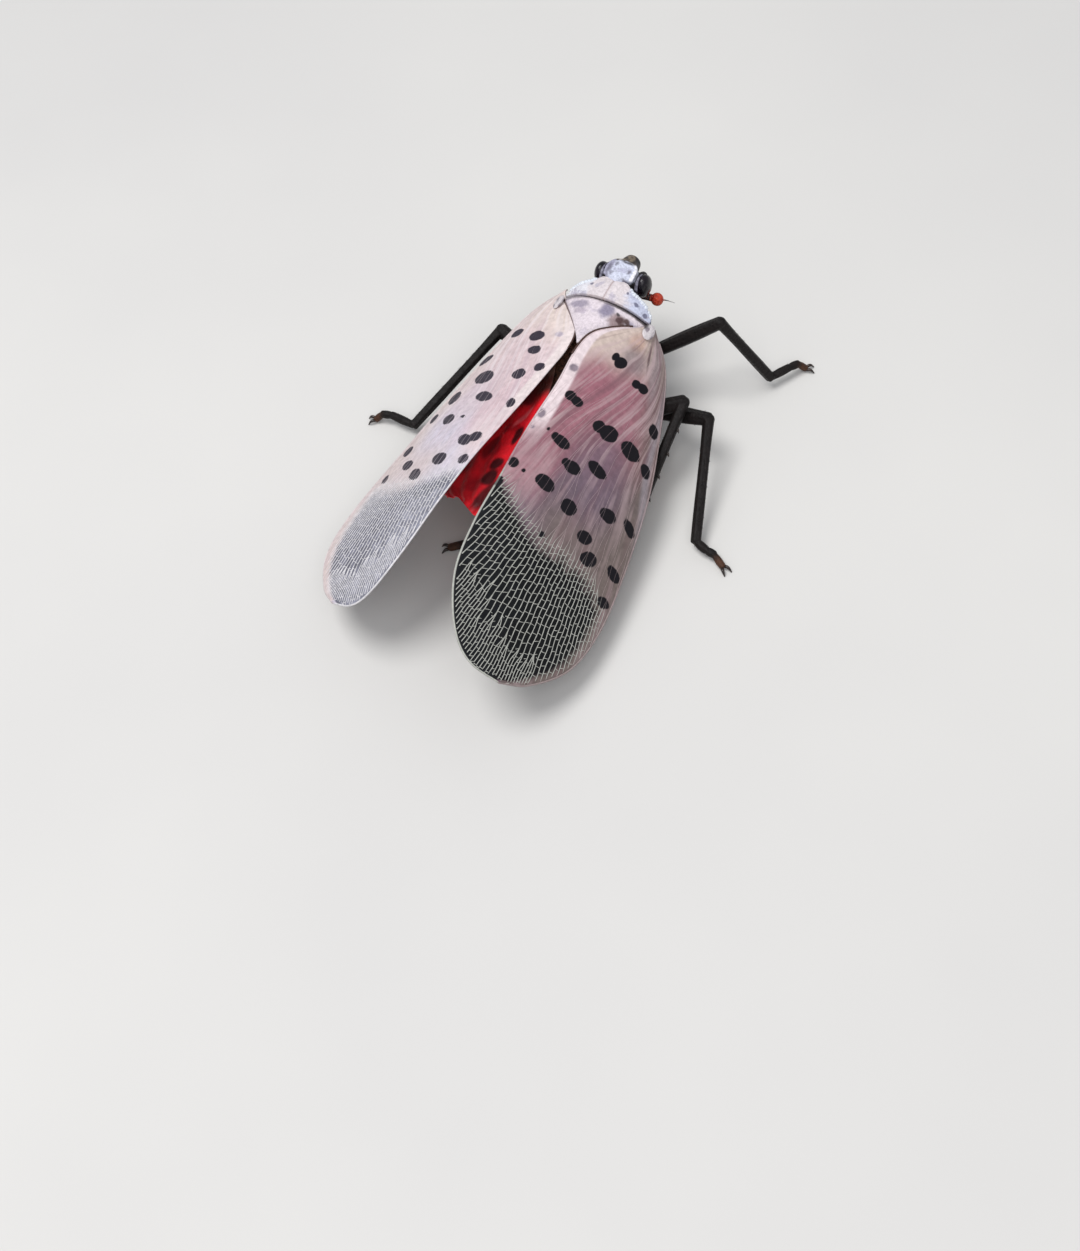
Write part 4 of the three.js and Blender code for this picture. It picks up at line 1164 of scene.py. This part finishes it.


# The left wing's colours are all lighter and the right wing's darker: partly the wings' own dusting, partly
# painted light on the left wing, which faces the lamp, and painted shade on the right wing, which faces
# away.
# Patches: along, across, the two radii, colour and strength.
PAINT = {
    "left": dict(
        base=tone(216, 200, 192), rose=tone(210, 188, 190), cloud=tone(202, 196, 210),
        front=tone(206, 190, 186), inner=tone(226, 212, 210), faint=tone(168, 156, 170),
        pale=tone(230, 219, 221), deep=tone(192, 170, 178), spot=tone(50, 43, 55),
        cell=tone(104, 104, 116), paler_cell=tone(130, 130, 142), lattice=tone(216, 213, 215),
        patches=[(8.0, 4.0, 3.0, 0.8, tone(212, 182, 190), 0.4)],
    ),
    "right": dict(
        base=tone(200, 182, 172), rose=tone(152, 104, 114), cloud=tone(100, 90, 99),
        front=tone(114, 102, 97), inner=tone(226, 210, 212), faint=tone(134, 122, 132),
        pale=tone(192, 168, 170), deep=tone(112, 80, 88), spot=tone(18, 15, 21),
        cell=tone(12, 13, 15), paler_cell=tone(16, 18, 21), lattice=tone(176, 176, 168),
        patches=[
            (1.3, 0.9, 0.6, 0.45, tone(184, 146, 128), 0.6),
            (2.3, 0.9, 0.8, 0.7, tone(124, 112, 118), 0.65),
            (1.8, 0.1, 0.9, 0.07, tone(84, 70, 70), 0.8),
            (2.2, -0.4, 2.2, 0.35, tone(146, 130, 134), 0.7),
            (4.6, 2.7, 1.8, 0.7, tone(152, 98, 110), 0.6),
            (10.0, 5.0, 1.8, 0.9, tone(150, 104, 114), 0.6),
            (7.5, -1.2, 4.0, 0.25, tone(150, 142, 148), 0.7),
            (9.0, 1.8, 1.8, 1.6, tone(104, 94, 108), 0.5),
        ],
    ),
}


def inner_band(wing, along, across):
    """How strongly the pale band along the first part of the inner margin shows."""
    return ramp(wing.share_at(along, across), 0.88, 0.91) * (1 - ramp(along, 6.8, 9.2))


def membrane_paint(word, wing, along, across):
    """The membrane's colour at places on the wing, before spots and net."""
    colours = PAINT[word]
    flat = np.stack([along, across, 0 * along], -1)
    share = wing.share_at(along, across)
    clouds = ripple(flat, 5.0, 41)
    paint = blend(colours["base"], colours["rose"], ramp(along + 0.8 * clouds, 1.3, 4.6))
    cloudy = ramp(along + 1.5 * clouds - 3 * ramp(share, 0.55, 0.9), 7.0, 10.5)
    paint = blend(paint, colours["cloud"], cloudy * 0.85)
    paint = blend(paint, colours["front"], (1 - ramp(share, 0.06, 0.32)) * 0.85)
    before_net = ramp(along + clouds, 10.5, 13) * (1 - ramp(share, 0.5, 0.8))
    paint = blend(paint, colours["front"], before_net * 0.8)
    shaken = flat + 0.15 * clouds[:, None]
    for x, y, long, wide, colour, strength in colours["patches"]:
        paint = blend(paint, colour, dab(shaken, (x, y), (long, wide), 0.5) * strength)
    return blend(paint, colours["inner"], inner_band(wing, along, across))


for word, pose in FOREWING_POSES.items():
    colours = PAINT[word]
    wing = Wing(FRONT_MARGIN, INNER_BASE[word] + INNER_MARGIN, WING_SPAN, **pose)
    membrane, along, across = wing.sheet("forewing_sheet_" + word, SHEET_ROWS, SHEET_COLUMNS, MEMBRANE)
    share = wing.share_at(along, across)
    spots = [wing.spot(*row) for row in SPOT_PIXELS[word]]
    faint_spots = [wing.spot(*row) for row in FAINT_SPOT_PIXELS[word]]
    faint = 1 - ramp(to_nearest(faint_spots, along, across), -0.05, 0.04)
    store(membrane, "paint", blend(membrane_paint(word, wing, along, across), colours["faint"], faint))
    streaky = (1 - 0.85 * inner_band(wing, along, across)) * (1 - 0.55 * ramp(along, 6.5, 12))
    store(membrane, "streaky", streaky)
    beyond = past_edge(wing, word, along, across)
    # The net's cells are paler towards the inner margin, deeper into the net.
    paler_cell_share = ramp(share, 0.5, 0.85) * ramp(beyond, 0.5, 2.0)
    store(membrane, "cell", blend(colours["cell"], colours["paler_cell"], paler_cell_share))
    store(membrane, "to_spot", to_nearest(spots, along, across))
    store(membrane, "beyond_edge", beyond)
    store(membrane, "lane", lane_of_place(along, across))
    store(membrane, "station", along)

    sheet = Finish("forewing_" + word, roughness=0.5, Specular_IOR_Level=0.2)

    def streaks(lanes, lengths):
        """Noise drawn out along the veins: so many streaks across the wing, so many lengths to a mm."""
        combined = sheet.node("ShaderNodeCombineXYZ")
        sheet.link(sheet.math("MULTIPLY", sheet.value("lane"), lanes), combined.inputs["X"])
        sheet.link(sheet.math("MULTIPLY", sheet.value("station"), lengths), combined.inputs["Y"])
        drawn = sheet.node("ShaderNodeTexNoise")
        drawn.inputs["Scale"].default_value = 1
        sheet.link(combined.outputs["Vector"], drawn.inputs["Vector"])
        return drawn.outputs["Fac"]

    fine_streaks = streaks(34.0, 0.3)
    membrane_tone = sheet.grained(3.2, 0.86, 1.12, 6)
    for drawn, low, high, strength, colour in (
        (streaks(16.0, 0.2), 0.5, 0.66, 0.55, "deep"),
        (streaks(13.0, 0.14), 0.54, 0.66, 0.6, "pale"),
        (fine_streaks, 0.53, 0.63, 0.4, "pale"),
    ):
        shown = sheet.math("MULTIPLY", sheet.stretch(drawn, low, high, 0, strength), sheet.value("streaky"))
        membrane_tone = sheet.mix(shown, membrane_tone, colours[colour])
    wobble = sheet.stretch(sheet.noise(2.2, 3), 0.3, 0.7, -0.03, 0.03)
    ragged = sheet.math("MULTIPLY", wobble, 7.0)
    in_net = sheet.stretch(sheet.math("ADD", sheet.value("beyond_edge"), ragged), -0.35, 0.55)
    glints = sheet.stretch(sheet.noise(2.5), 0.4, 0.7, 0.8, 1.5)
    net_tone = sheet.mix(1.0, sheet.colour("cell"), glints, "MULTIPLY")
    membrane_tone = sheet.mix(in_net, membrane_tone, net_tone)
    in_spot = sheet.stretch(sheet.math("ADD", sheet.value("to_spot"), wobble), -0.02, 0.025, 1, 0)
    sheet.base(sheet.mix(in_spot, membrane_tone, colours["spot"]))
    sheet.uneven(4, 0.4, 0.62)
    sheet.bump(sheet.noise(5, 6), 0.04, 0.6)
    sheet.bump(fine_streaks, 0.05, 0.5)
    sheet.wear(membrane)
    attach(membrane, "root")
    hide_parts("forewing_" + word)

    shapes, along, across = vein_shapes(wing, word)
    points, faces = merge(shapes)
    veins = add_piece("forewing_veins_" + word, points, faces)
    line_tone = blend(membrane_paint(word, wing, along, across), colours["pale"], 0.4 + 0 * along)
    line_tone = blend(line_tone, colours["lattice"], ramp(past_edge(wing, word, along, across), -1.2, -0.2))
    # Painted shade: the tube outside the inner margin at the hinge is dark brown.
    shade_line = ramp(wing.share_at(along, across), 1.0, 1.01) * (1 - ramp(along, 3.2, 3.6))
    store(veins, "paint", blend(line_tone, tone(76, 50, 42), shade_line))
    store(veins, "to_spot", to_nearest(spots, along, across))
    vein_finish = Finish("vein_" + word, roughness=0.5)
    in_spot = vein_finish.stretch(vein_finish.value("to_spot"), -0.05, 0.0, 0.72, 0)
    vein_finish.base(vein_finish.mix(in_spot, vein_finish.grained(4, 0.8, 1.1), colours["spot"]))
    vein_finish.bump(vein_finish.noise(8), 0.02, 0.5)
    vein_finish.wear(veins)
    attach(veins, "root")


# Hindwings: thinner pleated sheets folded under the forewings, bright red with black blotches, brown at the
# root. The left one is drawn out a little further from under its forewing, so its outer margin shows.
HIND_SPAN = 12
HIND_MEMBRANE = 0.07
HIND_MARGINS = {
    "right": (
        [(0, 0), (2.5, -0.7), (6, -0.9), (8.6, -0.3), (10.6, 0.9), (11.3, 2.2)],
        [(0.2, 1), (1.5, 2.5), (4, 3.6), (7.5, 4.1), (9.3, 4.0), (10.7, 3.3), (11.3, 2.2)],
    ),
    "left": (
        [(0, 0), (2.5, -0.7), (6, -0.9), (8.6, -0.3), (10.3, 0.9), (10.85, 2.3)],
        [
            (0.2, 1), (1.5, 2.6), (4, 4.2), (7, 5.2), (9.6, 5.75), (11.2, 5.85),
            (11.5, 5.3), (10.65, 4.2), (10.7, 3.3), (10.85, 2.3),
        ],
    ),
}
HINDWING_POSES = {
    "right": dict(side=1, hinge=(3.05, 1.1, 4.2), yaw=12, tilt=29, pitch=4.5,
                  curl=1, sag=0.2, camber=0.2),
    "left": dict(side=-1, hinge=(-2.95, 1.1, 4.42), yaw=8, tilt=29, pitch=6.5,
                 curl=-1, sag=0.3, camber=0.2),
}
# Blotches, and one painted highlight along a fold: along, across, the two radii, colour and strength.
HIND_BLOTCHES = [
    (2.0, 2.6, 2.6, 1.8, tone(72, 42, 36), 0.95),
    (1.8, 3.1, 0.8, 0.4, tone(124, 92, 80), 0.8),
    (4.1, 2.6, 0.6, 0.8, tone(84, 16, 22), 0.85),
    (4.5, 1.2, 0.6, 0.5, tone(34, 8, 12), 0.95),
    # A pale pink streak: a painted highlight along a fold.
    (5.3, 3.6, 0.9, 0.14, tone(236, 110, 116), 0.7),
    (6.5, 4.2, 0.5, 0.32, tone(30, 8, 12), 0.95),
    (6.7, 1.6, 0.5, 0.6, tone(34, 8, 12), 0.95),
    (7.5, 2.95, 0.7, 0.45, tone(104, 14, 20), 0.8),
    (8.4, 4.3, 0.45, 0.4, tone(26, 8, 12), 0.95),
    (9.3, 4.5, 0.5, 0.5, tone(30, 8, 12), 0.95),
    (10.3, 5.2, 1.0, 0.5, tone(44, 10, 14), 0.9),
]

red_finish = Finish("hindwing", roughness=0.4, Coat_Weight=0.1, Coat_Roughness=0.3)
red_finish.base(red_finish.grained(1.6, 0.82, 1.12))
red_finish.bump(red_finish.noise(4, 5), 0.05, 0.6)
for word, pose in HINDWING_POSES.items():
    wing = Wing(*HIND_MARGINS[word], HIND_SPAN, pleat=0.05, **pose)
    sheet, along, across = wing.sheet("hindwing_sheet_" + word, 200, 110, HIND_MEMBRANE)
    flat = np.stack([along, across, 0 * along], -1)
    uneven = ripple(flat, 1.2, 61)
    paint = blend(tone(226, 30, 42), tone(180, 18, 32), ramp(uneven, 0.0, 0.9))
    shaken = flat + 0.12 * uneven[:, None]
    for x, y, long, wide, colour, strength in HIND_BLOTCHES:
        paint = blend(paint, colour, dab(shaken, (x, y), (long, wide), 0.25) * strength)
    store(sheet, "paint", paint)
    red_finish.wear(sheet)
    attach(sheet, "root")
    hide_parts("hindwing_" + word)


# Studio: a plain pale floor of smooth board, a round soft lamp overhead, a weaker one from beside the
# camera, and an even pale sky.
FLOOR_SIZE = 3.0
corner = FLOOR_SIZE / 2
floor_mesh = bpy.data.meshes.new("floor")
floor_corners = [(-corner, -corner, 0), (corner, -corner, 0), (corner, corner, 0), (-corner, corner, 0)]
floor_mesh.from_pydata(floor_corners, [], [(0, 1, 2, 3)])
floor = bpy.data.objects.new("floor", floor_mesh)
bpy.context.scene.collection.objects.link(floor)
floor_finish = Finish("floor", roughness=0.8)
floor_finish.base(floor_finish.two_tone(0.02, tone(214, 212, 208), tone(208, 206, 203)))
floor_finish.wear(floor)


def soft_lamp(name, place, aim, size, watts):
    """A round soft lamp turned to what it lights."""
    lamp = bpy.data.objects.new(name, bpy.data.lights.new(name, "AREA"))
    lamp.data.shape = "DISK"
    lamp.data.size = size
    lamp.data.energy = watts
    lamp.location = place
    lamp.rotation_euler = (Vector(aim) - Vector(place)).to_track_quat("-Z", "Y").to_euler()
    bpy.context.scene.collection.objects.link(lamp)


soft_lamp("key", (-0.05, -0.03, 0.22), (0, 0, 0.004), 0.12, 0.34)
soft_lamp("fill", (0.1, -0.12, 0.2), (0, 0, 0.004), 0.2, 0.2)
world = bpy.data.worlds.new("studio")
world.use_nodes = True
world.node_tree.nodes["Background"].inputs["Color"].default_value = (0.9, 0.93, 1.0, 1)
world.node_tree.nodes["Background"].inputs["Strength"].default_value = 0.45
bpy.context.scene.world = world
bpy.context.scene.view_settings.view_transform = "Standard"
